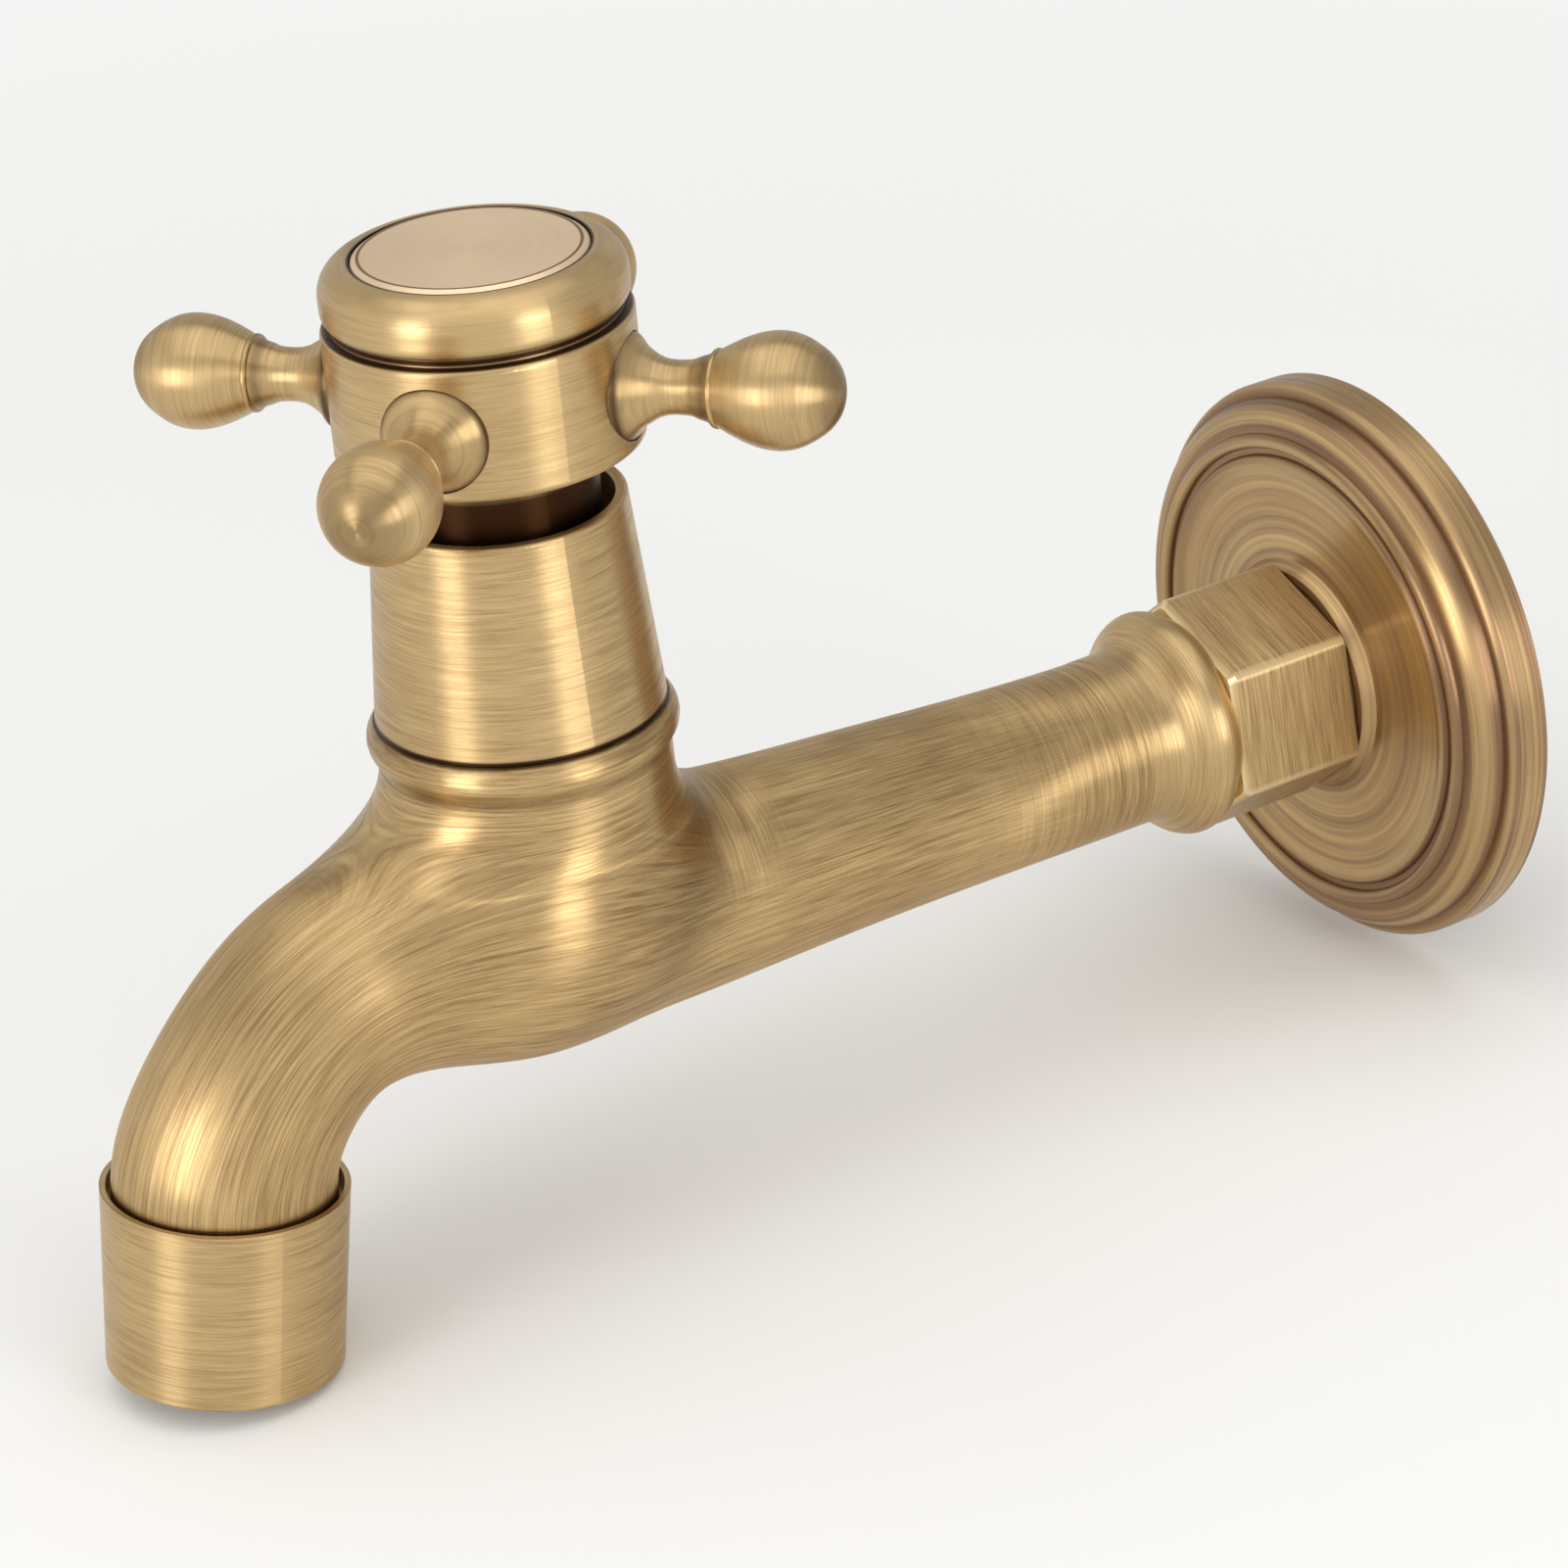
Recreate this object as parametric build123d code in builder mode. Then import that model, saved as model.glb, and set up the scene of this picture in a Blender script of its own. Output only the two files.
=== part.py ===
"""Wall-mounted sink tap: long arm, cross handle, quarter-turn ceramic headwork and sleeve aerator.

The wall is the plane Y = 0 and the tap stands out of it towards -Y, with +Z up.
The origin is on the axis of the threaded shank, where that axis meets the wall.
"""

import os
from math import cos, pi, radians, sin, sqrt

from build123d import *

os.makedirs("parts", exist_ok=True)

# Fits
SCREWED_GAP = 0.05
RUNNING_GAP = 0.06
LOOSE_GAP = 0.15

# Threaded shank behind the wall, G 1/2
SHANK_R = 10.48
THREAD_PITCH = 1.814
THREAD_DEPTH = 1.0
THREAD_CREST = 0.5
THREAD_CRESTS = 7
THREAD_CHAMFER = 0.5
THREAD_LEAD = 0.75
SHANK_NECK_R = 10.3
INLET_BORE_R = 5.6
INLET_RAMP = 28.85

# Wall plate
PLATE_R = 30.0
PLATE_EDGE = 0.4
PLATE_RIM = 3.7
PLATE_RIM_ROUND = 0.95
PLATE_RIM_CROWN = 0.25
PLATE_STEP_R = 28.6
PLATE_OGEE_R = 25.9
PLATE_OGEE_HEIGHT = 7.25
PLATE_OGEE_CROWN = 0.85
PLATE_HEIGHT = 8.1
PLATE_BEAD_R = 24.7
PLATE_BEAD = 0.8
PLATE_LIP_R = 22.6
PLATE_LIP = 0.7
PLATE_LIP_CROWN = 0.45
PLATE_DISH_HEIGHT = 7.75
PLATE_DISH_DEPTH = 0.25
PLATE_DISH_R = 14.8
PLATE_BOSS_R = 11.6
PLATE_BOSS_FOOT_R = 12.4
PLATE_WALL = 1.8

# Hexagon and round collar
HEX_START = 9.5
HEX_LENGTH = 14.7
HEX_ACROSS_FLATS = 22.0
HEX_TURN = 38.7
HEX_EDGE = 0.7
HEX_BEVEL = 0.45
COLLAR_R = 12.35
COLLAR_CREST = 1.8
COLLAR_SHOULDER = 3.1
COLLAR_SHOULDER_R = 11.7
COLLAR_HOLLOW = 4.5
COLLAR_HOLLOW_R = 10.2
COLLAR_LENGTH = 6.6

# Arm and spout. In each row of the spine: share of the way, height of the centre and radius,
# where the share is -1 at the arm's start, 0 at the valve's axis and 1 at the outlet's axis
ARM_START = 26.0
ARM_R = 9.0
SPINE = [
    (-1.0, 0.15, ARM_R),
    (-0.643, 0.55, 9.3),
    (-0.424, 0.95, 9.9),
    (-0.245, 1.4, 10.6),
    (-0.094, 2.3, 11.45),
    (0.076, 3.6, 12.05),
    (0.319, 4.5, 11.8),
    (0.534, 4.3, 11.0),
    (0.728, 2.2, 10.35),
    (0.88, -1.7, 10.1),
    (0.983, -6.2, 10.2),
]
SPINE_STEPS = 16

# Outlet: the nose leans away from the wall
OUTLET_REACH = 133.8
SPOUT_REACH = 34.95
OUTLET_LEAN = 7.9
NOSE_TOP = -11.3
NOSE_R = 10.6
NOSE_THREAD_R = 10.3
NOSE_THREAD_LENGTH = 6.0
OUTLET_BORE_R = 7.6
OUTLET_THROAT_R = 5.0
OUTLET_PASSAGE = 35.0
OUTLET_LIFT = 3.2

# Aerator
SLEEVE_TOP = -12.4
SLEEVE_LENGTH = 18.4
SLEEVE_TOP_R = 11.8
SLEEVE_FOOT_R = 11.35
SLEEVE_MOUTH_R = 11.2
SLEEVE_MOUTH_DEPTH = 1.9
SLEEVE_LIP = 1.2
SLEEVE_LIP_R = 9.2
SLEEVE_EDGE = 0.4
AERATOR_WASHER_T = 1.6
AERATOR_WASHER_R = 7.9
INSERT_WALL = 1.5
INSERT_RIB = 0.7
INSERT_RIBS = 12
INSERT_RIB_HEIGHT = 4.0
INSERT_HUB_R = 2.0
INSERT_RING_R = 5.6
SCREEN_T = 0.6
SCREEN_EDGE = 0.7
SCREEN_HOLE_R = 0.45
SCREEN_HOLE_STEP = 1.9
SCREEN_HOLE_RINGS = 4

# Valve chamber
CHAMBER_R = 13.85
CHAMBER_TOP = 26.0
CHAMBER_BORE_R = 10.4
SEAT_HEIGHT = 4.5
SEAT_BORE_R = 4.6
INLET_DROP = -2.3
BEAD_R = 14.75
BEAD_HEIGHT = 3.5
BEAD_DROP = 0.3
BEAD_SINK = 0.3
FLARE_TOP = 20.0
FLARE_R = 15.2
BELLY_BOTTOM = -4.0
CHAMBER_BLEND = 6.0

# Headwork
SEAL_HEIGHT = 2.8
SEAL_R = 7.3
SEAL_BORE_R = 6.1
DISC_T = 2.6
DISC_R = 8.1
DISC_FILM = 0.05
DISC_PORT_R = 4.3
DISC_PORT_WIDTH = 3.4
DISC_PORT_ANGLE = 34.0
DISC_LUG_WIDTH = 2.4
CAGE_R = 9.1
CAGE_WALL = 0.85
CAGE_LIP = 1.0
CAGE_SPIGOT = 2.3
CAGE_SPIGOT_R = 8.8
WINDOW_HEIGHT = 4.6
WINDOW_WIDTH = 11.0
DRIVER_HEIGHT = 5.3
DRIVER_WIDTH = 6.0
DRIVER_LENGTH = 15.0
DRIVER_TONGUE = 0.9
FOOT_FLANGE_R = 8.0
FOOT_FLANGE_T = 2.0
THRUST_WASHER_T = 0.45
HEADWORK_THREAD_R = 10.35
HEADWORK_COLLAR_R = 12.2
HEADWORK_COLLAR_T = 1.4
HEADWORK_HEX = 20.0
HEADWORK_HEX_HEIGHT = 5.0
HEADWORK_NECK_R = 9.2
HEADWORK_NECK = 7.6
HEADWORK_NOSE_R = 7.6
HEADWORK_NOSE = 3.2
BONNET_RING_WELL_R = 11.6
BONNET_RING_SECTION_R = 0.55
SPINDLE_R = 4.9
SPINDLE_NECK_R = 4.2
SPLINE_ROOT_R = 3.55
SPLINE_TOOTH = 0.4
SPLINE_TEETH = 20
SPLINE_LENGTH = 10.0
O_RING_SECTION_R = 0.5
SPINDLE_RING_RISE = 8.6
SPINDLE_RING_SPACING = 6.5
CLIP_T = 0.7
CLIP_R = 6.3
CLIP_GAP = 3.0

# Cone cover
COVER_LENGTH = 20.9
COVER_FOOT_R = 13.8
COVER_TOP_R = 12.0
COVER_WALL = 1.2
COVER_EDGE = 0.35
COVER_SHELF_RISE = 1.2
COVER_SHELF_T = 4.8

# Handle
HANDLE_GAP = 5.5
HUB_R = 14.4
HUB_HEIGHT = 12.8
HUB_EDGE = 0.7
SKIRT_R = 9.6
SKIRT_LENGTH = 7.6
HUB_SCREW_WEB = 2.0
SCREW_WELL_R = 4.8
CAP_RECESS_R = 11.0
CAP_RECESS_DEPTH = 2.6
HANDLE_TURN = 41.6
ARM_COUNT = 4
ARM_DROP = 0.35
ARM_SEAT_R = 5.05
ARM_SEAT_REACH = 12.9
ARM_FOOT = 0.9
STUD_R = 2.45
STUD_LENGTH = 5.2
ARM_NECK_R = 2.1
ARM_NECK_REACH = 19.4
ARM_RING_R = 2.75
ARM_RING_REACH = 20.6
ARM_RING_WIDTH = 0.6
EGG_R = 5.4
EGG_REACH = 27.6
EGG_TIP_REACH = 33.9
SCREW_R = 1.95
SCREW_HEAD_R = 3.7
SCREW_HEAD_T = 2.6
SCREW_EDGE = 0.65
SCREW_LENGTH = 9.0
SCREW_SOCKET_R = 1.5
SCREW_WASHER_R = 4.2
SCREW_WASHER_T = 0.8

# Cap
CAP_R = 14.2
CAP_HEIGHT = 5.5
CAP_STEP = 0.5
CAP_STEP_R = 13.5
CAP_EDGE = 3.0
CAP_FOOT_EDGE = 1.3
CAP_WALL = 1.0
CAP_SPIGOT = 2.3
CAP_HOLLOW_R = 8.6
INLAY_R = 11.05
INLAY_T = 1.3
INLAY_BEVEL = 0.6
INLAY_RISE = 0.2
CAP_RING_SECTION_R = 0.5

# Places worked out from the sizes above, along the arm and on the valve's axis
valve_reach = OUTLET_REACH - SPOUT_REACH
inlet_straight = valve_reach - INLET_RAMP
seal_top = SEAT_HEIGHT + SEAL_HEIGHT
fixed_disc_top = seal_top + DISC_T
moving_disc_base = fixed_disc_top + DISC_FILM
moving_disc_top = moving_disc_base + DISC_T
driver_top = moving_disc_top + DRIVER_HEIGHT
foot_top = driver_top + FOOT_FLANGE_T
thrust_washer_base = foot_top + DISC_FILM
headwork_ceiling = thrust_washer_base + THRUST_WASHER_T
cage_shoulder = headwork_ceiling - CAGE_SPIGOT
cage_foot = seal_top - CAGE_LIP
collar_top = CHAMBER_TOP + HEADWORK_COLLAR_T
headwork_hex_top = collar_top + HEADWORK_HEX_HEIGHT
neck_top = headwork_hex_top + HEADWORK_NECK
headwork_top = neck_top + HEADWORK_NOSE
cover_top = CHAMBER_TOP + COVER_LENGTH
shelf_base = headwork_hex_top + COVER_SHELF_RISE
hub_base = cover_top + HANDLE_GAP
hub_top = hub_base + HUB_HEIGHT
skirt_base = hub_base - SKIRT_LENGTH
clip_base = headwork_top + DISC_FILM
clip_top = clip_base + CLIP_T
spline_base = clip_top + CLIP_T
spindle_top = spline_base + SPLINE_LENGTH
web_base = spindle_top + RUNNING_GAP
web_top = web_base + HUB_SCREW_WEB
screw_seat = web_top + SCREW_WASHER_T
recess_floor = hub_top - CAP_RECESS_DEPTH
arm_height = hub_base + HUB_HEIGHT / 2 - ARM_DROP
cap_base = hub_top + CAP_STEP
cap_top = cap_base + CAP_HEIGHT
inlay_base = cap_top - INLAY_T

# Places along the outlet's axis, below its foot on the arm's axis
nose_shoulder = SLEEVE_TOP - SLEEVE_MOUTH_DEPTH
nose_end = nose_shoulder - NOSE_THREAD_LENGTH
sleeve_foot = SLEEVE_TOP - SLEEVE_LENGTH
insert_foot = sleeve_foot + SLEEVE_LIP
insert_top = nose_end - AERATOR_WASHER_T
screen_base = insert_top - SCREEN_T

# Lengths and radii worked out from the sizes above
thread_root_r = SHANK_R - THREAD_DEPTH
thread_flank = (THREAD_PITCH - THREAD_CREST) / 2
thread_length = (THREAD_CRESTS - 1) * THREAD_PITCH + THREAD_CREST
shank_length = thread_length + thread_flank + THREAD_LEAD
hex_end = HEX_START + HEX_LENGTH
sleeve_bore_r = NOSE_THREAD_R + SCREWED_GAP
insert_r = sleeve_bore_r - LOOSE_GAP
screen_r = insert_r - SCREEN_EDGE
spindle_bore_r = SPINDLE_R + RUNNING_GAP
ring_groove_r = spindle_bore_r - 2 * O_RING_SECTION_R - 2 * SCREWED_GAP
ring_groove_half = O_RING_SECTION_R + LOOSE_GAP
spindle_ring_heights = [
    headwork_ceiling + SPINDLE_RING_RISE,
    headwork_ceiling + SPINDLE_RING_RISE + SPINDLE_RING_SPACING,
]
cage_bore_r = CAGE_R - CAGE_WALL
cap_spigot_r = CAP_RECESS_R - SCREWED_GAP
cap_groove_r = CAP_RECESS_R - 2 * CAP_RING_SECTION_R - 2 * SCREWED_GAP
cap_ring_height = hub_top - CAP_SPIGOT / 2

# Axes and section planes
X_DIR = Vector(1, 0, 0)
UP = Vector(0, 0, 1)
OUT = Vector(0, -1, 0)
outlet_up = Vector(0, sin(radians(OUTLET_LEAN)), cos(radians(OUTLET_LEAN)))
valve_foot = Vector(0, -valve_reach, 0)
outlet_foot = Vector(0, -OUTLET_REACH, 0)
shank_axis = Axis((0, 0, 0), OUT)
valve_axis = Axis(valve_foot, UP)
outlet_axis = Axis(outlet_foot, outlet_up)
shank_section = Plane(origin=(0, 0, 0), x_dir=X_DIR, z_dir=X_DIR.cross(OUT))
valve_section = Plane(origin=valve_foot, x_dir=X_DIR, z_dir=X_DIR.cross(UP))
outlet_section = Plane(origin=outlet_foot, x_dir=X_DIR, z_dir=X_DIR.cross(outlet_up))


def profile(*points):
    """Fill a closed outline of straight runs in the sketch that is open."""
    Polygon(*points, align=None)


def across(reach):
    """A plane parallel to the wall, at a distance from it."""
    return Plane(origin=(0, -reach, 0), x_dir=X_DIR, z_dir=OUT)


def level(height):
    """A horizontal plane on the valve's axis."""
    return Plane(origin=valve_foot + UP * height, x_dir=X_DIR, z_dir=UP)


def outlet_level(height):
    """A plane square to the outlet's axis."""
    return Plane(origin=outlet_foot + outlet_up * height, x_dir=X_DIR, z_dir=outlet_up)


def crown(start, end, rise):
    """Add a shallow arc to the outline that is open, raised by a height in its middle."""
    start, end = Vector(start), Vector(end)
    along = end - start
    middle = (start + end) * 0.5 + Vector(along.Y, -along.X).normalized() * rise
    return ThreePointArc(start, middle, end)


def finish(piece, name):
    """Label a finished piece and write it."""
    piece.part.label = name
    export_step(piece.part, f"parts/{name}.step")


# The centre line of the arm and spout, ending square to the nose
spine_points = []
for share, height, radius in SPINE:
    length = SPOUT_REACH if share > 0 else valve_reach - ARM_START
    spine_points.append((valve_reach + share * length, height, radius))
nose_point = outlet_foot + outlet_up * NOSE_TOP
with BuildLine(Plane.YZ) as spine:
    Spline(
        *[(-reach, height) for reach, height, _ in spine_points],
        (nose_point.Y, nose_point.Z),
        tangents=[(-1, 0), (-outlet_up.Y, -outlet_up.Z)],
    )
spine_edge = spine.edges()[0]


def spine_plane(distance, lift=0.0):
    """The plane square to the centre line at a distance along it, raised by a lift."""
    point = spine_edge.position_at(distance, PositionMode.LENGTH)
    tangent = spine_edge.tangent_at(distance, PositionMode.LENGTH)
    return Plane(origin=point + UP * lift, x_dir=X_DIR, z_dir=tangent)


# The girth along the centre line, read at even steps
with BuildLine() as girth:
    Spline(
        *[
            (spine_edge.param_at_point((0, -reach, height)) * spine_edge.length, radius)
            for reach, height, radius in spine_points
        ],
        (spine_edge.length, NOSE_R),
    )
girth_points = [girth.edges()[0] @ (step / SPINE_STEPS) for step in range(SPINE_STEPS + 1)]

# Crests and roots of the shank's thread, from its free end to the wall
thread_points = []
for turn in reversed(range(THREAD_CRESTS)):
    crest_end = -turn * THREAD_PITCH
    thread_points.append((thread_root_r, crest_end - THREAD_CREST - thread_flank))
    thread_points.append((SHANK_R, crest_end - THREAD_CREST))
    thread_points.append((SHANK_R, crest_end))

# Tap body
with BuildPart() as tap_body:
    with BuildSketch(across(HEX_START)):
        RegularPolygon(radius=HEX_ACROSS_FLATS / sqrt(3), side_count=6, rotation=HEX_TURN)
    extrude(amount=HEX_LENGTH)
    fillet(tap_body.edges().filter_by(Axis.Y), HEX_EDGE)
    chamfer(tap_body.faces().sort_by(Axis.Y)[-1].edges(), HEX_BEVEL)

    with BuildSketch(shank_section):
        with BuildLine():
            Polyline(
                (0, hex_end + COLLAR_LENGTH),
                (0, -shank_length),
                (thread_root_r - THREAD_CHAMFER, -shank_length),
                *thread_points,
                (SHANK_NECK_R, 0),
                (SHANK_NECK_R, hex_end - (HEX_ACROSS_FLATS / 2 - SHANK_NECK_R)),
                (COLLAR_R, hex_end + COLLAR_R - HEX_ACROSS_FLATS / 2),
                (COLLAR_R, hex_end + COLLAR_CREST),
            )
            shoulder = Spline(
                (COLLAR_R, hex_end + COLLAR_CREST),
                (COLLAR_SHOULDER_R, hex_end + COLLAR_SHOULDER),
                (COLLAR_HOLLOW_R, hex_end + COLLAR_HOLLOW),
                (ARM_R, hex_end + COLLAR_LENGTH),
                tangents=[(0, 1), (0, 1)],
            )
            Line(shoulder @ 1, (0, hex_end + COLLAR_LENGTH))
        make_face()
    revolve(axis=shank_axis)

    for point in girth_points:
        with BuildSketch(spine_plane(point.X)):
            Circle(point.Y)
    loft()

    with BuildSketch(valve_section):
        with BuildLine():
            rim = Polyline((0, BELLY_BOTTOM), (0, CHAMBER_TOP), (CHAMBER_R, CHAMBER_TOP))
            side = Line(rim @ 1, (CHAMBER_R, FLARE_TOP))
            Spline(side @ 1, (FLARE_R, seal_top), tangents=[(0, -1), (0, -1)])
            EllipticalCenterArc(
                (0, seal_top),
                FLARE_R,
                seal_top - BELLY_BOTTOM,
                start_angle=270,
                arc_size=90,
            )
        make_face()
    revolve(axis=valve_axis)
    fillet(tap_body.edges(Select.NEW), CHAMBER_BLEND)

    with BuildSketch(valve_section):
        with BuildLine():
            bead_top = CHAMBER_TOP - BEAD_DROP
            bead = ThreePointArc(
                (CHAMBER_R - BEAD_SINK, bead_top),
                (BEAD_R, bead_top - BEAD_HEIGHT / 2),
                (CHAMBER_R - BEAD_SINK, bead_top - BEAD_HEIGHT),
            )
            Line(bead @ 1, bead @ 0)
        make_face()
    revolve(axis=valve_axis)

    with BuildSketch(outlet_level(NOSE_TOP)):
        Circle(NOSE_R)
    extrude(amount=nose_shoulder - NOSE_TOP)
    with BuildSketch(outlet_level(nose_shoulder)):
        Circle(NOSE_THREAD_R)
    extrude(amount=nose_end - nose_shoulder)

    with BuildSketch(across(-shank_length)):
        Circle(INLET_BORE_R)
    extrude(amount=shank_length + inlet_straight, mode=Mode.SUBTRACT)
    for share in (0, 0.5, 1):
        reach = inlet_straight + share * (INLET_RAMP + SEAT_BORE_R / 2)
        drop = INLET_DROP * share * share
        with BuildSketch(Plane(origin=(0, -reach, drop), x_dir=X_DIR, z_dir=OUT)):
            Circle(INLET_BORE_R + share * (SEAT_BORE_R - INLET_BORE_R))
    loft(mode=Mode.SUBTRACT)
    with BuildSketch(level(INLET_DROP)):
        Circle(SEAT_BORE_R)
    extrude(amount=SEAT_HEIGHT - INLET_DROP, mode=Mode.SUBTRACT)
    with BuildSketch(level(SEAT_HEIGHT)):
        Circle(CHAMBER_BORE_R)
    extrude(amount=CHAMBER_TOP - SEAT_HEIGHT, mode=Mode.SUBTRACT)
    with BuildSketch(level(CHAMBER_TOP)):
        Circle(BONNET_RING_WELL_R)
    extrude(amount=-2 * BONNET_RING_SECTION_R - SCREWED_GAP, mode=Mode.SUBTRACT)

    for share in (0, 0.25, 0.5, 0.75, 1):
        distance = spine_edge.length - (1 - share) * OUTLET_PASSAGE
        with BuildSketch(spine_plane(distance, OUTLET_LIFT * (1 - share) ** 3)):
            Circle(OUTLET_BORE_R - (OUTLET_BORE_R - OUTLET_THROAT_R) * (1 - share) ** 2)
    loft(mode=Mode.SUBTRACT)
    with BuildSketch(outlet_level(NOSE_TOP)):
        Circle(OUTLET_BORE_R)
    extrude(amount=nose_end - NOSE_TOP, mode=Mode.SUBTRACT)
finish(tap_body, "tap_body")

# Wall plate
with BuildPart() as wall_plate:
    with BuildSketch(shank_section):
        with BuildLine():
            back = Polyline(
                (PLATE_R - PLATE_WALL, 0),
                (PLATE_R - PLATE_EDGE, 0),
                (PLATE_R, PLATE_EDGE),
                (PLATE_R, PLATE_RIM),
            )
            rim_end = (PLATE_R - PLATE_RIM_ROUND, PLATE_RIM + PLATE_RIM_ROUND)
            rim = crown(back @ 1, rim_end, PLATE_RIM_CROWN)
            step = Line(rim @ 1, (PLATE_STEP_R, PLATE_RIM + PLATE_RIM_ROUND))
            ogee = crown(step @ 1, (PLATE_OGEE_R, PLATE_OGEE_HEIGHT), PLATE_OGEE_CROWN)
            bead_foot = PLATE_HEIGHT - PLATE_BEAD
            cove = Line(ogee @ 1, (PLATE_BEAD_R + PLATE_BEAD, bead_foot))
            bead = crown(cove @ 1, (PLATE_BEAD_R - PLATE_BEAD, bead_foot), PLATE_BEAD)
            groove = Line(bead @ 1, (PLATE_LIP_R + PLATE_LIP, bead_foot))
            lip = crown(groove @ 1, (PLATE_LIP_R - PLATE_LIP, PLATE_DISH_HEIGHT), PLATE_LIP_CROWN)
            dish = crown(lip @ 1, (PLATE_DISH_R, PLATE_DISH_HEIGHT), -PLATE_DISH_DEPTH)
            Polyline(
                dish @ 1,
                (PLATE_BOSS_FOOT_R, PLATE_HEIGHT),
                (PLATE_BOSS_R, HEX_START),
                (SHANK_R + LOOSE_GAP, HEX_START),
                (SHANK_R + LOOSE_GAP, bead_foot - PLATE_WALL),
                (PLATE_LIP_R, bead_foot - PLATE_WALL),
                (PLATE_OGEE_R, PLATE_OGEE_HEIGHT - PLATE_WALL),
                (PLATE_R - PLATE_WALL, PLATE_RIM - PLATE_RIM_ROUND),
                back @ 0,
            )
        make_face()
    revolve(axis=shank_axis)
finish(wall_plate, "wall_plate")

# Cone cover
with BuildPart() as bonnet_cover:
    with BuildSketch(valve_section):
        profile(
            (COVER_FOOT_R - COVER_WALL, CHAMBER_TOP),
            (COVER_FOOT_R, CHAMBER_TOP),
            (COVER_TOP_R, cover_top),
            (COVER_TOP_R - COVER_WALL, cover_top),
        )
    revolve(axis=valve_axis)
    fillet(bonnet_cover.edges().group_by(Axis.Z)[-1], COVER_EDGE)
    with BuildSketch(valve_section):
        shelf_top = shelf_base + COVER_SHELF_T
        taper = (COVER_FOOT_R - COVER_TOP_R) / COVER_LENGTH
        wall_middle = COVER_FOOT_R - COVER_WALL / 2
        profile(
            (HEADWORK_NECK_R + SCREWED_GAP, shelf_base),
            (wall_middle - taper * (shelf_base - CHAMBER_TOP), shelf_base),
            (wall_middle - taper * (shelf_top - CHAMBER_TOP), shelf_top),
            (HEADWORK_NECK_R + SCREWED_GAP, shelf_top),
        )
    revolve(axis=valve_axis)
finish(bonnet_cover, "bonnet_cover")

# Headwork body, screwed into the chamber and clamped on its rim
with BuildPart() as headwork_body:
    with BuildSketch(valve_section):
        profile(
            (spindle_bore_r, headwork_ceiling),
            (CAGE_SPIGOT_R + SCREWED_GAP, headwork_ceiling),
            (CAGE_SPIGOT_R + SCREWED_GAP, cage_shoulder),
            (HEADWORK_THREAD_R, cage_shoulder),
            (HEADWORK_THREAD_R, CHAMBER_TOP),
            (HEADWORK_COLLAR_R, CHAMBER_TOP),
            (HEADWORK_COLLAR_R, collar_top),
            (HEADWORK_NECK_R, collar_top),
            (HEADWORK_NECK_R, neck_top),
            (HEADWORK_NOSE_R, neck_top),
            (HEADWORK_NOSE_R, headwork_top),
            (spindle_bore_r, headwork_top),
        )
    revolve(axis=valve_axis)
    with BuildSketch(level(collar_top)):
        RegularPolygon(radius=HEADWORK_HEX / sqrt(3), side_count=6)
        Circle(HEADWORK_NECK_R - SCREWED_GAP, mode=Mode.SUBTRACT)
    extrude(amount=HEADWORK_HEX_HEIGHT)
finish(headwork_body, "headwork_body")

# Cage that holds the discs and lets the water out through two windows
with BuildPart() as disc_cage:
    with BuildSketch(valve_section):
        profile(
            (SEAL_R + SCREWED_GAP, cage_foot),
            (CAGE_R, cage_foot),
            (CAGE_R, cage_shoulder),
            (CAGE_SPIGOT_R, cage_shoulder),
            (CAGE_SPIGOT_R, headwork_ceiling),
            (cage_bore_r, headwork_ceiling),
            (cage_bore_r, seal_top),
            (SEAL_R + SCREWED_GAP, seal_top),
        )
    revolve(axis=valve_axis)
    with BuildSketch(level(moving_disc_top)):
        Rectangle(WINDOW_WIDTH, 4 * CAGE_R)
    extrude(amount=WINDOW_HEIGHT, mode=Mode.SUBTRACT)
    with BuildSketch(level(seal_top)):
        Rectangle(4 * CAGE_R, DISC_LUG_WIDTH + 2 * LOOSE_GAP)
    extrude(amount=DISC_T + DISC_FILM, mode=Mode.SUBTRACT)
finish(disc_cage, "disc_cage")

# Seat seal
with BuildPart() as seat_seal:
    with BuildSketch(level(SEAT_HEIGHT)):
        Circle(SEAL_R)
        Circle(SEAL_BORE_R, mode=Mode.SUBTRACT)
    extrude(amount=SEAL_HEIGHT)
finish(seat_seal, "seat_seal")


def ports(first_angle):
    """Cut the two curved water ports of a disc in the sketch that is open."""
    for angle in (first_angle, first_angle + 180):
        arc = CenterArc((0, 0), DISC_PORT_R, angle - DISC_PORT_ANGLE / 2, DISC_PORT_ANGLE, mode=Mode.PRIVATE)
        SlotArc(arc, DISC_PORT_WIDTH, mode=Mode.SUBTRACT)


# Fixed disc, keyed to the cage by two lugs
with BuildPart() as fixed_disc:
    with BuildSketch(level(seal_top)):
        Circle(DISC_R)
        Rectangle(2 * CAGE_R, DISC_LUG_WIDTH)
        ports(90)
    extrude(amount=DISC_T)
finish(fixed_disc, "fixed_disc")

# Moving disc, slotted across for the spindle's tongue
with BuildPart() as moving_disc:
    with BuildSketch(level(moving_disc_base)):
        Circle(DISC_R)
        ports(0)
    extrude(amount=DISC_T)
    with BuildSketch(level(moving_disc_top)):
        Rectangle(DRIVER_WIDTH + 2 * SCREWED_GAP, 4 * DISC_R)
    extrude(amount=-DRIVER_TONGUE - SCREWED_GAP, mode=Mode.SUBTRACT)
finish(moving_disc, "moving_disc")

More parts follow.
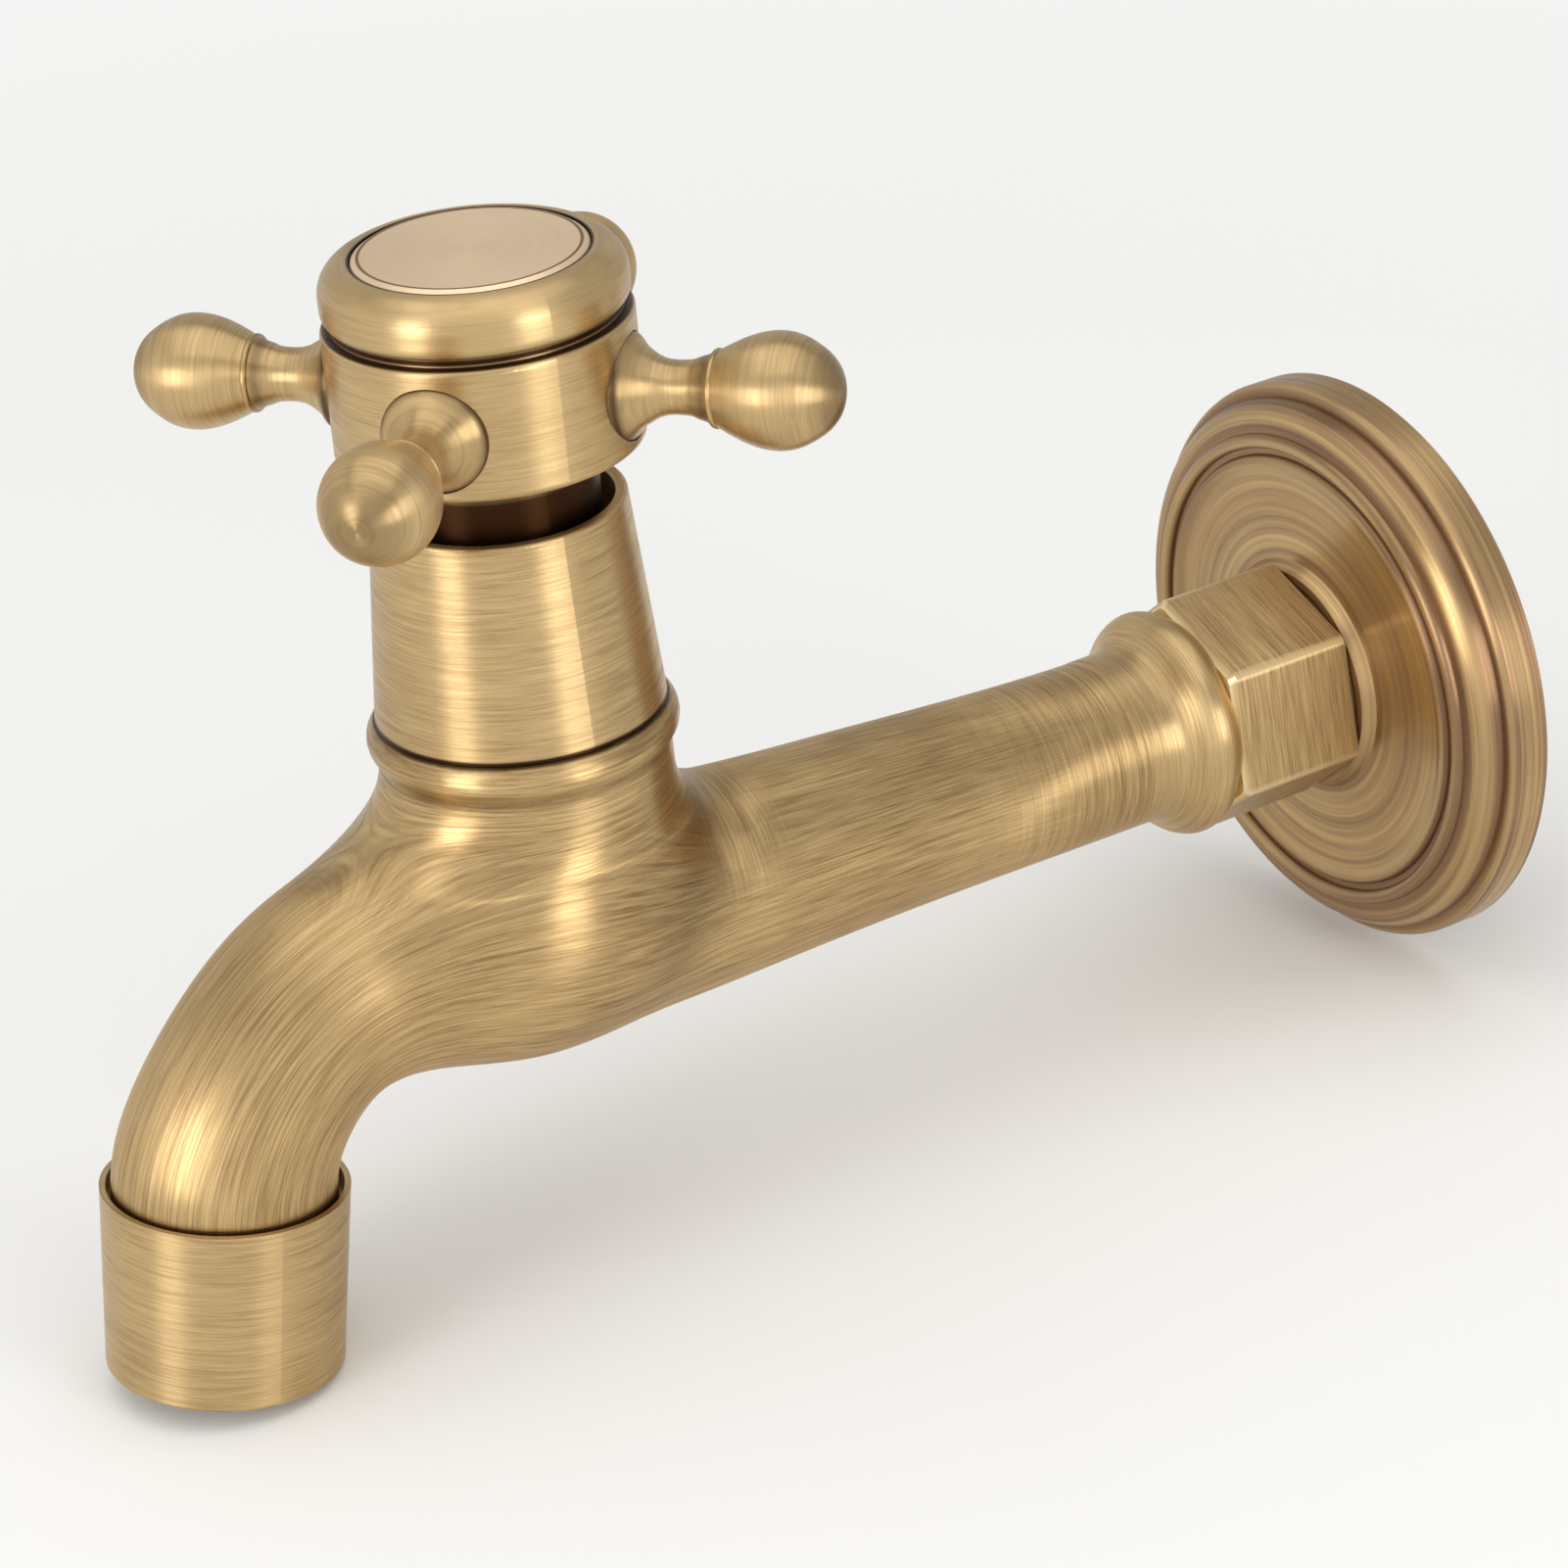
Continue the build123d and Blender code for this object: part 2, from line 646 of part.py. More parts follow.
# Thrust washer
with BuildPart() as thrust_washer:
    with BuildSketch(level(thrust_washer_base)):
        Circle(FOOT_FLANGE_R)
        Circle(spindle_bore_r, mode=Mode.SUBTRACT)
    extrude(amount=THRUST_WASHER_T)
finish(thrust_washer, "thrust_washer")


def ring(centre_r, height, section_r):
    """Add an O-ring about the valve's axis to the part that is open."""
    with Locations(level(height)):
        Torus(centre_r, section_r)


# O-ring under the headwork's collar
with BuildPart() as bonnet_o_ring:
    bonnet_ring_r = (HEADWORK_THREAD_R + BONNET_RING_WELL_R) / 2
    ring(bonnet_ring_r, CHAMBER_TOP - BONNET_RING_SECTION_R, BONNET_RING_SECTION_R)
finish(bonnet_o_ring, "bonnet_o_ring")


def spline_teeth(gap):
    """Draw the spindle's splined head in the sketch that is open, grown by a gap."""
    Circle(SPLINE_ROOT_R + gap)
    tooth_width = pi * SPLINE_ROOT_R / SPLINE_TEETH
    with PolarLocations(SPLINE_ROOT_R, SPLINE_TEETH):
        Rectangle(2 * (SPLINE_TOOTH + gap), tooth_width + 2 * gap)


# Spindle
with BuildPart() as spindle:
    with BuildSketch(valve_section):
        grooves = []
        for height in spindle_ring_heights:
            grooves.append((SPINDLE_R, height - ring_groove_half))
            grooves.append((ring_groove_r, height - ring_groove_half))
            grooves.append((ring_groove_r, height + ring_groove_half))
            grooves.append((SPINDLE_R, height + ring_groove_half))
        profile(
            (0, driver_top),
            (FOOT_FLANGE_R, driver_top),
            (FOOT_FLANGE_R, foot_top),
            (SPINDLE_R, foot_top),
            *grooves,
            (SPINDLE_R, clip_base),
            (SPINDLE_NECK_R, clip_base),
            (SPINDLE_NECK_R, clip_top),
            (SPINDLE_R, clip_top),
            (SPINDLE_R, spline_base),
            (0, spline_base),
        )
    revolve(axis=valve_axis)
    with BuildSketch(level(moving_disc_top - DRIVER_TONGUE)):
        Rectangle(DRIVER_WIDTH, DRIVER_LENGTH)
    extrude(amount=DRIVER_TONGUE + DRIVER_HEIGHT)
    with BuildSketch(level(spline_base)):
        spline_teeth(0)
    extrude(amount=SPLINE_LENGTH)
    with BuildSketch(level(spindle_top)):
        Circle(SCREW_R + SCREWED_GAP)
    extrude(amount=-SCREW_LENGTH, mode=Mode.SUBTRACT)
finish(spindle, "spindle")

for name, height in zip(("spindle_o_ring_lower", "spindle_o_ring_upper"), spindle_ring_heights):
    with BuildPart() as spindle_o_ring:
        ring(ring_groove_r + SCREWED_GAP + O_RING_SECTION_R, height, O_RING_SECTION_R)
    finish(spindle_o_ring, name)

# Retaining ring
with BuildPart() as retaining_ring:
    with BuildSketch(level(clip_base)):
        Circle(CLIP_R)
        Circle(SPINDLE_NECK_R + SCREWED_GAP, mode=Mode.SUBTRACT)
        with Locations((CLIP_R, 0)):
            Rectangle(2 * CLIP_R, CLIP_GAP, mode=Mode.SUBTRACT)
    extrude(amount=CLIP_T)
finish(retaining_ring, "retaining_ring")

# The four arms' directions and planes
arm_origin = valve_foot + UP * arm_height
arm_angles = [HANDLE_TURN + number * 360 / ARM_COUNT for number in range(ARM_COUNT)]
arm_directions = [Vector(cos(radians(angle)), sin(radians(angle)), 0) for angle in arm_angles]

# Handle hub
with BuildPart() as handle_hub:
    with BuildSketch(valve_section):
        profile(
            (0, hub_base),
            (HUB_R, hub_base),
            (HUB_R, hub_top),
            (0, hub_top),
        )
    revolve(axis=valve_axis)
    fillet(handle_hub.edges().filter_by(GeomType.CIRCLE), HUB_EDGE)
    with BuildSketch(level(skirt_base)):
        Circle(SKIRT_R)
    extrude(amount=SKIRT_LENGTH)
    with BuildSketch(level(skirt_base)):
        spline_teeth(SCREWED_GAP)
    extrude(amount=web_base - skirt_base, mode=Mode.SUBTRACT)
    with BuildSketch(level(web_base)):
        Circle(SCREW_R + LOOSE_GAP)
    extrude(amount=HUB_SCREW_WEB, mode=Mode.SUBTRACT)
    with BuildSketch(level(web_top)):
        Circle(SCREW_WELL_R)
    extrude(amount=recess_floor - web_top, mode=Mode.SUBTRACT)
    with BuildSketch(level(recess_floor)):
        Circle(CAP_RECESS_R)
    extrude(amount=CAP_RECESS_DEPTH, mode=Mode.SUBTRACT)
    for direction in arm_directions:
        with BuildSketch(Plane(origin=arm_origin + direction * ARM_SEAT_REACH, z_dir=direction)):
            Circle(ARM_SEAT_R)
        extrude(amount=HUB_R, mode=Mode.SUBTRACT)
        with BuildSketch(Plane(origin=arm_origin + direction * ARM_SEAT_REACH, z_dir=direction)):
            Circle(STUD_R + SCREWED_GAP)
        extrude(amount=-STUD_LENGTH, mode=Mode.SUBTRACT)
finish(handle_hub, "handle_hub")

# Handle arms, turned in one piece from stud to egg
for number, direction in enumerate(arm_directions, start=1):
    with BuildPart() as handle_arm:
        with BuildSketch(Plane(origin=arm_origin, x_dir=direction, z_dir=direction.cross(UP))):
            with BuildLine():
                foot_r = ARM_SEAT_R - LOOSE_GAP
                stud = Polyline(
                    (EGG_TIP_REACH, 0),
                    (ARM_SEAT_REACH - STUD_LENGTH, 0),
                    (ARM_SEAT_REACH - STUD_LENGTH, STUD_R),
                    (ARM_SEAT_REACH, STUD_R),
                    (ARM_SEAT_REACH, foot_r),
                    (ARM_SEAT_REACH + ARM_FOOT, foot_r),
                )
                trumpet = Spline(
                    stud @ 1,
                    (ARM_NECK_REACH, ARM_NECK_R),
                    tangents=[(0.45, -1), (1, 0)],
                )
                collar = Polyline(
                    trumpet @ 1,
                    (ARM_RING_REACH - ARM_RING_WIDTH / 2, ARM_NECK_R),
                    (ARM_RING_REACH - ARM_RING_WIDTH / 2, ARM_RING_R),
                    (ARM_RING_REACH + ARM_RING_WIDTH / 2, ARM_RING_R),
                )
                egg = Spline(
                    collar @ 1,
                    (EGG_REACH, EGG_R),
                    tangents=[(0.8, 0.6), (1, 0)],
                )
                EllipticalCenterArc(
                    (EGG_REACH, 0),
                    EGG_TIP_REACH - EGG_REACH,
                    EGG_R,
                    start_angle=0,
                    arc_size=90,
                )
            make_face()
        revolve(axis=Axis(arm_origin, direction))
    finish(handle_arm, f"handle_arm_{number}")

# Handle screw and its washer
with BuildPart() as handle_screw:
    with BuildSketch(level(screw_seat)):
        Circle(SCREW_HEAD_R)
    extrude(amount=SCREW_HEAD_T)
    fillet(handle_screw.edges().group_by(Axis.Z)[-1], SCREW_EDGE)
    with BuildSketch(level(screw_seat)):
        Circle(SCREW_R)
    extrude(amount=-SCREW_LENGTH)
    with BuildSketch(level(screw_seat + SCREW_HEAD_T)):
        RegularPolygon(radius=SCREW_SOCKET_R, side_count=6)
    extrude(amount=-SCREW_HEAD_T / 2, mode=Mode.SUBTRACT)
finish(handle_screw, "handle_screw")

with BuildPart() as screw_washer:
    with BuildSketch(level(web_top)):
        Circle(SCREW_WASHER_R)
        Circle(SCREW_R + LOOSE_GAP, mode=Mode.SUBTRACT)
    extrude(amount=SCREW_WASHER_T)
finish(screw_washer, "screw_washer")

# Cap
with BuildPart() as handle_cap:
    with BuildSketch(valve_section):
        profile(
            (0, cap_base),
            (CAP_R, cap_base),
            (CAP_R, cap_top),
            (0, cap_top),
        )
    revolve(axis=valve_axis)
    fillet(handle_cap.edges().group_by(Axis.Z)[-1], CAP_EDGE)
    fillet(handle_cap.edges().group_by(Axis.Z)[0], CAP_FOOT_EDGE)
    with BuildSketch(valve_section):
        profile(
            (CAP_HOLLOW_R, hub_top - CAP_SPIGOT),
            (cap_spigot_r, hub_top - CAP_SPIGOT),
            (cap_spigot_r, cap_ring_height - CAP_RING_SECTION_R - SCREWED_GAP),
            (cap_groove_r, cap_ring_height - CAP_RING_SECTION_R - SCREWED_GAP),
            (cap_groove_r, cap_ring_height + CAP_RING_SECTION_R + SCREWED_GAP),
            (cap_spigot_r, cap_ring_height + CAP_RING_SECTION_R + SCREWED_GAP),
            (cap_spigot_r, hub_top),
            (CAP_STEP_R, hub_top),
            (CAP_STEP_R, cap_base + CAP_STEP),
            (CAP_HOLLOW_R, cap_base + CAP_STEP),
        )
    revolve(axis=valve_axis)
    with BuildSketch(level(hub_top - CAP_SPIGOT)):
        Circle(CAP_HOLLOW_R)
    extrude(amount=inlay_base - CAP_WALL - hub_top + CAP_SPIGOT, mode=Mode.SUBTRACT)
    with BuildSketch(level(inlay_base)):
        Circle(INLAY_R)
    extrude(amount=2 * INLAY_T, mode=Mode.SUBTRACT)
finish(handle_cap, "handle_cap")

# Disc let into the cap
with BuildPart() as cap_inlay:
    with BuildSketch(valve_section):
        profile(
            (0, inlay_base),
            (INLAY_R - SCREWED_GAP, inlay_base),
            (INLAY_R - SCREWED_GAP, cap_top - INLAY_RISE),
            (INLAY_R - SCREWED_GAP - INLAY_BEVEL, cap_top + INLAY_RISE),
            (0, cap_top + INLAY_RISE),
        )
    revolve(axis=valve_axis)
finish(cap_inlay, "cap_inlay")

with BuildPart() as cap_o_ring:
    ring(cap_groove_r + SCREWED_GAP + CAP_RING_SECTION_R, cap_ring_height, CAP_RING_SECTION_R)
finish(cap_o_ring, "cap_o_ring")

# Aerator sleeve, screwed on the nose
with BuildPart() as aerator_sleeve:
    with BuildSketch(outlet_section):
        profile(
            (SLEEVE_LIP_R, sleeve_foot),
            (SLEEVE_FOOT_R, sleeve_foot),
            (SLEEVE_TOP_R, SLEEVE_TOP),
            (SLEEVE_MOUTH_R, SLEEVE_TOP),
            (SLEEVE_MOUTH_R, nose_shoulder),
            (sleeve_bore_r, nose_shoulder),
            (sleeve_bore_r, insert_foot),
            (SLEEVE_LIP_R, insert_foot),
        )
    revolve(axis=outlet_axis)
    fillet(aerator_sleeve.edges().sort_by(Axis.Z)[0:2], SLEEVE_EDGE)
finish(aerator_sleeve, "aerator_sleeve")

with BuildPart() as aerator_washer:
    with BuildSketch(outlet_level(insert_top)):
        Circle(insert_r)
        Circle(AERATOR_WASHER_R, mode=Mode.SUBTRACT)
    extrude(amount=AERATOR_WASHER_T)
finish(aerator_washer, "aerator_washer")

# Aerator insert: a ring with radial ribs, open between them
with BuildPart() as aerator_insert:
    with BuildSketch(outlet_level(insert_foot)):
        Circle(insert_r)
        Circle(insert_r - INSERT_WALL, mode=Mode.SUBTRACT)
    extrude(amount=insert_top - insert_foot)
    with BuildSketch(outlet_level(insert_foot + INSERT_RIB)):
        Circle(INSERT_HUB_R)
        Circle(INSERT_RING_R + INSERT_RIB / 2)
        Circle(INSERT_RING_R - INSERT_RIB / 2, mode=Mode.SUBTRACT)
        Circle(INSERT_HUB_R)
        with PolarLocations((INSERT_HUB_R + insert_r - INSERT_WALL) / 2, INSERT_RIBS):
            Rectangle(insert_r - INSERT_WALL - INSERT_HUB_R + 2 * INSERT_RIB, INSERT_RIB)
    extrude(amount=INSERT_RIB_HEIGHT)
    with BuildSketch(outlet_level(screen_base)):
        Circle(screen_r + SCREWED_GAP)
    extrude(amount=SCREEN_T, mode=Mode.SUBTRACT)
finish(aerator_insert, "aerator_insert")

# Perforated screen on the insert
with BuildPart() as aerator_screen:
    with BuildSketch(outlet_level(screen_base)):
        Circle(screen_r)
        Circle(SCREEN_HOLE_R, mode=Mode.SUBTRACT)
        for rank in range(1, SCREEN_HOLE_RINGS + 1):
            with PolarLocations(rank * SCREEN_HOLE_STEP, 6 * rank):
                Circle(SCREEN_HOLE_R, mode=Mode.SUBTRACT)
    extrude(amount=SCREEN_T)
finish(aerator_screen, "aerator_screen")
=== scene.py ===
"""Wall-mounted sink tap in brushed antique brass: skins, finishes and a small studio."""

from math import cos, pi, radians, sin, sqrt
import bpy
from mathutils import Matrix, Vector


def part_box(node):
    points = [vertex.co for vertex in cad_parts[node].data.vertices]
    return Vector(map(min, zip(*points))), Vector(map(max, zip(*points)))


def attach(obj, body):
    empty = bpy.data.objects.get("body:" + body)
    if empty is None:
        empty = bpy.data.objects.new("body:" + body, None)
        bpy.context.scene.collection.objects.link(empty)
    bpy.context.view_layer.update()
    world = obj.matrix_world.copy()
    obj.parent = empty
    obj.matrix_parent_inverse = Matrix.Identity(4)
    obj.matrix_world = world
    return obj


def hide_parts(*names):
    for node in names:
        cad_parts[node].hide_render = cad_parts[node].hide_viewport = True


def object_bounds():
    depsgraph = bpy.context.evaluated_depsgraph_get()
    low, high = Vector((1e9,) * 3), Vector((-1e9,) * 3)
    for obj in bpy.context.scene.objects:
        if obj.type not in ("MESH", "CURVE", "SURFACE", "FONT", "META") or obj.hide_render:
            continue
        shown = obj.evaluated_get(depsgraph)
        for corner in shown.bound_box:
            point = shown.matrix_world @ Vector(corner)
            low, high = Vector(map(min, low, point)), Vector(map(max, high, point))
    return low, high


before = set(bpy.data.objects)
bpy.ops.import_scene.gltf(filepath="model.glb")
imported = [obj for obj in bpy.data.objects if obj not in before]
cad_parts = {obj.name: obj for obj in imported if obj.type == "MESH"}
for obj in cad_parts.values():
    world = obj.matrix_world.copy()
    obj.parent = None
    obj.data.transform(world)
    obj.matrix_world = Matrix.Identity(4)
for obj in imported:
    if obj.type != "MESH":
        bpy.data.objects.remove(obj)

from types import SimpleNamespace

import bmesh
import bpy
import numpy as np
from bpy.props import FloatProperty, FloatVectorProperty, IntProperty, PointerProperty
from mathutils import Euler, Matrix, Vector

bl_info = {
    "name": "Antique brass sink tap",
    "version": (1, 0, 0),
    "blender": (4, 5, 0),
    "location": "View3D > Sidebar > Tap",
    "description": "Skins, finishes and studio for a wall-mounted sink tap",
    "category": "Object",
}

MM = 0.001
CAD_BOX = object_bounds()


def low(node):
    """Lowest corner of a CAD node, in millimetres."""
    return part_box(node)[0] / MM


def high(node):
    """Highest corner of a CAD node, in millimetres."""
    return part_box(node)[1] / MM


def linear(code):
    """A colour written as an sRGB hex code, as linear red, green and blue."""
    parts = [int(code[place : place + 2], 16) / 255 for place in (1, 3, 5)]
    return tuple(p / 12.92 if p <= 0.04045 else ((p + 0.055) / 1.055) ** 2.4 for p in parts)


# Places read from the frame, in millimetres
VALVE = Vector((0, (low("bonnet_cover").y + high("bonnet_cover").y) / 2, 0))
COVER_FOOT = low("bonnet_cover").z
PLATE_R = high("wall_plate").x
HEX_START = -low("wall_plate").y
SHANK_END = high("tap_body").y
SLEEVE = (low("aerator_sleeve") + high("aerator_sleeve")) / 2
OUTLET_LEAN = 7.9

# The casting's skin starts inside the collar and ends square to the spout's nose
ARM_START = 33.0
OUTLET_CUT = 14.9

# The arm and spout: reach from the wall, height of the centre and radius
ARM_LINE = [
    (24.0, 0.0, 9.0),
    (37.0, 0.0, 9.0),
    (52.0, 0.45, 9.3),
    (66.0, 0.93, 9.8),
    (81.0, 1.4, 10.6),
    (92.0, 2.3, 11.5),
    (101.5, 3.65, 12.1),
    (110.0, 4.6, 11.8),
    (117.5, 4.4, 11.0),
    (124.5, 2.3, 10.25),
    (129.8, -1.9, 10.05),
    (133.4, -6.6, 10.3),
    (135.35, -11.2, 10.65),
    (135.8, -14.2, 10.7),
    (136.3, -18.0, 10.7),
]


def length_setting(name, description, millimetres):
    """A length that a user can change."""
    return FloatProperty(
        name=name, description=description, default=millimetres * MM, min=0.0, precision=5, unit="LENGTH"
    )


def colour_setting(name, description, code):
    """A colour that a user can change."""
    return FloatVectorProperty(
        name=name, description=description, default=linear(code), size=3, min=0.0, max=1.0, subtype="COLOR"
    )


class TapShape(bpy.types.PropertyGroup):
    """Sizes of the skins."""

    casting_step: length_setting("Casting step", "Width of the casting's faces", 0.7)
    chamber_r: length_setting("Chamber radius", "Radius of the upright chamber", 13.85)
    chamber_belly: length_setting("Belly", "Depth of the chamber's rounded foot", 11.3)
    blend_front: length_setting("Front blend", "Softness of the chamber's root towards the spout", 11.0)
    blend_back: length_setting("Back blend", "Softness of the chamber's root towards the wall", 7.0)
    blend_neck: length_setting("Neck blend", "Softness of the same root just under the bead", 7.5)
    bead_r: length_setting("Bead radius", "Outer radius of the bead below the cover", 14.8)
    bead_height: length_setting("Bead height", "Height of the bead below the cover", 3.5)
    hex_flats: length_setting("Hexagon", "Width across the hexagon's flats", 22.0)
    hex_length: length_setting("Hexagon length", "Length of the hexagon", 14.7)
    hex_edge: length_setting("Hexagon edge", "Rounding of the hexagon's edges", 1.3)
    hex_bevel: length_setting("Hexagon bevel", "Bevel at the hexagon's ends", 0.6)
    collar_r: length_setting("Collar radius", "Radius of the round collar", 11.8)
    thread_pitch: length_setting("Thread pitch", "Rise of the inlet thread in one turn", 1.814)
    thread_depth: length_setting("Thread depth", "Depth of the inlet thread", 1.0)
    thread_r: length_setting("Thread radius", "Major radius of the inlet thread", 10.48)
    inlet_bore_r: length_setting("Inlet bore", "Radius of the bore through the shank", 5.6)
    hex_turn: FloatProperty(
        name="Hexagon turn",
        description="Angle of the hexagon's first corner from the upright",
        default=radians(-8.7),
        subtype="ANGLE",
    )
    arm_turn: FloatProperty(
        name="Handle turn",
        description="Angle of the first handle arm from the right",
        default=radians(41.6),
        subtype="ANGLE",
    )
    arm_count: IntProperty(name="Arms", description="Arms round the handle", default=4, min=2)


class TapFinish(bpy.types.PropertyGroup):
    """Colours and brushing of the brass."""

    brass: colour_setting("Brass", "Brushed antique brass where it is rubbed bright", "#D3B684")
    patina: colour_setting("Patina", "Brown left in the brush lines and corners", "#70502F")
    rosette: colour_setting("Wall plate", "Bright rings of the wall plate", "#CDAE79")
    rose: colour_setting("Rose", "Purple-brown of the darker rings on the wall plate", "#846350")
    inlay: colour_setting("Inlay", "Pale satin disc in the cap", "#F6DDBA")
    # Near-black brown for dark bands: patina in joints, and painted shade at the hexagon's wall end, the
    # chamber's root, the groove under the cap and round the hub's skirt
    soot: colour_setting("Crevice", "Dark patina that stays in joints and behind the handle", "#3A2414")
    # Lines are drawn 0.18 mm wide, coarser than real scratches of 0.05 mm, so that they show
    line_width: length_setting("Line width", "Width of a brush line", 0.18)
    line_length: length_setting("Line length", "Length of a brush line", 6.0)


class TapStudio(bpy.types.PropertyGroup):
    """Light of the studio."""

    strip: FloatProperty(name="Strips", description="Brightness of the two soft strips", default=1.3, min=0.0)
    fill: FloatProperty(name="Fill", description="Brightness of the pale surroundings", default=1.0, min=0.0)
    shade: FloatProperty(name="Shade", description="Depth of the shaded side", default=0.4, min=0.0, max=1.0)


def in_millimetres(settings):
    """A group of settings with its lengths in millimetres."""
    kinds = settings.bl_rna.properties
    values = {name: getattr(settings, name) for name in settings.__annotations__}
    lengths = {name: value / MM for name, value in values.items() if kinds[name].unit == "LENGTH"}
    return SimpleNamespace(**{**values, **lengths})


def shape():
    """The sizes of the skins, in millimetres."""
    return in_millimetres(bpy.context.scene.tap_shape)


def finish():
    """The colours and brushing, with lengths in millimetres."""
    return in_millimetres(bpy.context.scene.tap_finish)


# Mesh making


def smooth_through(points, steps):
    """Points on the cubic curve through the given ones, evenly spread between them."""
    points = np.asarray(points, float)
    knots = np.concatenate(([0.0], np.cumsum(np.linalg.norm(np.diff(points[:, :2], axis=0), axis=1))))
    gaps = np.diff(knots)
    count = len(points)
    matrix = np.eye(count)
    right = np.zeros_like(points)
    for row in range(1, count - 1):
        matrix[row, row - 1 : row + 2] = (gaps[row - 1], 2 * (gaps[row - 1] + gaps[row]), gaps[row])
        slopes = np.diff(points[row - 1 : row + 2], axis=0) / gaps[row - 1 : row + 1, None]
        right[row] = 6 * (slopes[1] - slopes[0])
    bends = np.linalg.solve(matrix, right)
    places = np.linspace(0, knots[-1], steps)
    spans = np.clip(np.searchsorted(knots, places) - 1, 0, count - 2)
    width = gaps[spans][:, None]
    after = (places - knots[spans])[:, None]
    before = width - after
    return (
        (bends[spans] * before**3 + bends[spans + 1] * after**3) / (6 * width)
        + (points[spans] / width - bends[spans] * width / 6) * before
        + (points[spans + 1] / width - bends[spans + 1] * width / 6) * after
    )


def round_corner(start, middle, end, steps=8):
    """Points on the arc through three points."""
    a, b, c = (np.asarray(point, float) for point in (start, middle, end))
    left, right = a - b, c - b
    twice = 2 * (left[0] * right[1] - left[1] * right[0])
    centre = b + np.array(
        (
            right[1] * left.dot(left) - left[1] * right.dot(right),
            left[0] * right.dot(right) - right[0] * left.dot(left),
        )
    ) / twice
    angles = [np.arctan2(*(point - centre)[::-1]) for point in (a, b, c)]
    sweep = (angles[2] - angles[0]) % (2 * pi)
    if (angles[1] - angles[0]) % (2 * pi) > sweep:
        sweep -= 2 * pi
    turns = angles[0] + np.linspace(0, sweep, steps + 1)
    radius = np.linalg.norm(a - centre)
    return [tuple(centre + radius * np.array((cos(turn), sin(turn)))) for turn in turns]


def crown(start, end, rise, steps):
    """Points on a shallow arc raised by a height in its middle."""
    start, end = np.asarray(start, float), np.asarray(end, float)
    along = end - start
    up = np.array((along[1], -along[0])) / np.linalg.norm(along)
    return round_corner(start, (start + end) / 2 + up * rise, end, steps)


def fine(outline, longest):
    """The closed outline with its long runs divided."""
    rows = []
    for start, end in zip(outline, outline[1:] + outline[:1]):
        start, end = np.asarray(start, float), np.asarray(end, float)
        parts = max(1, int(np.ceil(np.linalg.norm(end - start) / longest)))
        rows += [start + (end - start) * part / parts for part in range(parts)]
    return np.array(rows)


def turned(outline, origin, axis, right, longest=1.0, sides=180):
    """Points and faces of a closed outline of radius and height, turned about an axis."""
    rows = fine(outline, longest)
    axis, right = Vector(axis).normalized(), Vector(right)
    across = axis.cross(right)
    points, rings, faces = [], [], []
    for radius, height in rows:
        if radius < 1e-6:
            rings.append([len(points)] * sides)
            points.append(origin + axis * height)
            continue
        rings.append(range(len(points), len(points) + sides))
        for side in range(sides):
            angle = 2 * pi * side / sides
            points.append(origin + axis * height + (right * cos(angle) + across * sin(angle)) * radius)
    for ring, following in zip(rings, rings[1:] + rings[:1]):
        for side in range(sides):
            corners = [ring[side], ring[(side + 1) % sides], following[(side + 1) % sides], following[side]]
            corners = list(dict.fromkeys(corners))
            if len(corners) > 2:
                faces.append(corners)
    return points, faces


def make_piece(name, points, faces, material, body, nodes, layers=None, edge_angle=32.0):
    """A smooth-shaded closed mesh in the row's frame that stands for CAD nodes."""
    mesh = bpy.data.meshes.new(name)
    mesh.from_pydata([Vector(point) * MM for point in points], [], faces)
    if layers:
        for label, values in layers.items():
            kind = "FLOAT_VECTOR" if np.ndim(values) == 2 else "FLOAT"
            field = "vector" if kind == "FLOAT_VECTOR" else "value"
            attribute = mesh.attributes.new(label, kind, "POINT")
            attribute.data.foreach_set(field, np.asarray(values, np.float32).ravel())
    tidy = bmesh.new()
    tidy.from_mesh(mesh)
    bmesh.ops.recalc_face_normals(tidy, faces=tidy.faces)
    tidy.to_mesh(mesh)
    tidy.free()
    mesh.polygons.foreach_set("use_smooth", [True] * len(mesh.polygons))
    mesh.set_sharp_from_angle(angle=radians(edge_angle))
    mesh.materials.append(material)
    piece = bpy.data.objects.new(name, mesh)
    bpy.context.scene.collection.objects.link(piece)
    settle(piece, body, nodes)
    return piece


def settle(piece, body, nodes):
    """The piece rides on a body and stands for CAD nodes."""
    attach(piece, body)
    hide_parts(*nodes)


def dress(node, material):
    """Give a CAD node one material all over."""
    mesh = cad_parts[node].data
    mesh.materials.clear()
    mesh.materials.append(material)


# The casting: arm, spout and chamber as one soft skin


def soft_union(first, second, softness):
    """Two distances joined into one with a fillet."""
    share = np.clip(0.5 + 0.5 * (second - first) / softness, 0, 1)
    return second + (first - second) * share - softness * share * (1 - share)


def ease(low_end, high_end, values):
    """0 below one end, 1 above the other, smooth between."""
    share = np.clip((values - low_end) / (high_end - low_end), 0, 1)
    return share * share * (3 - 2 * share)


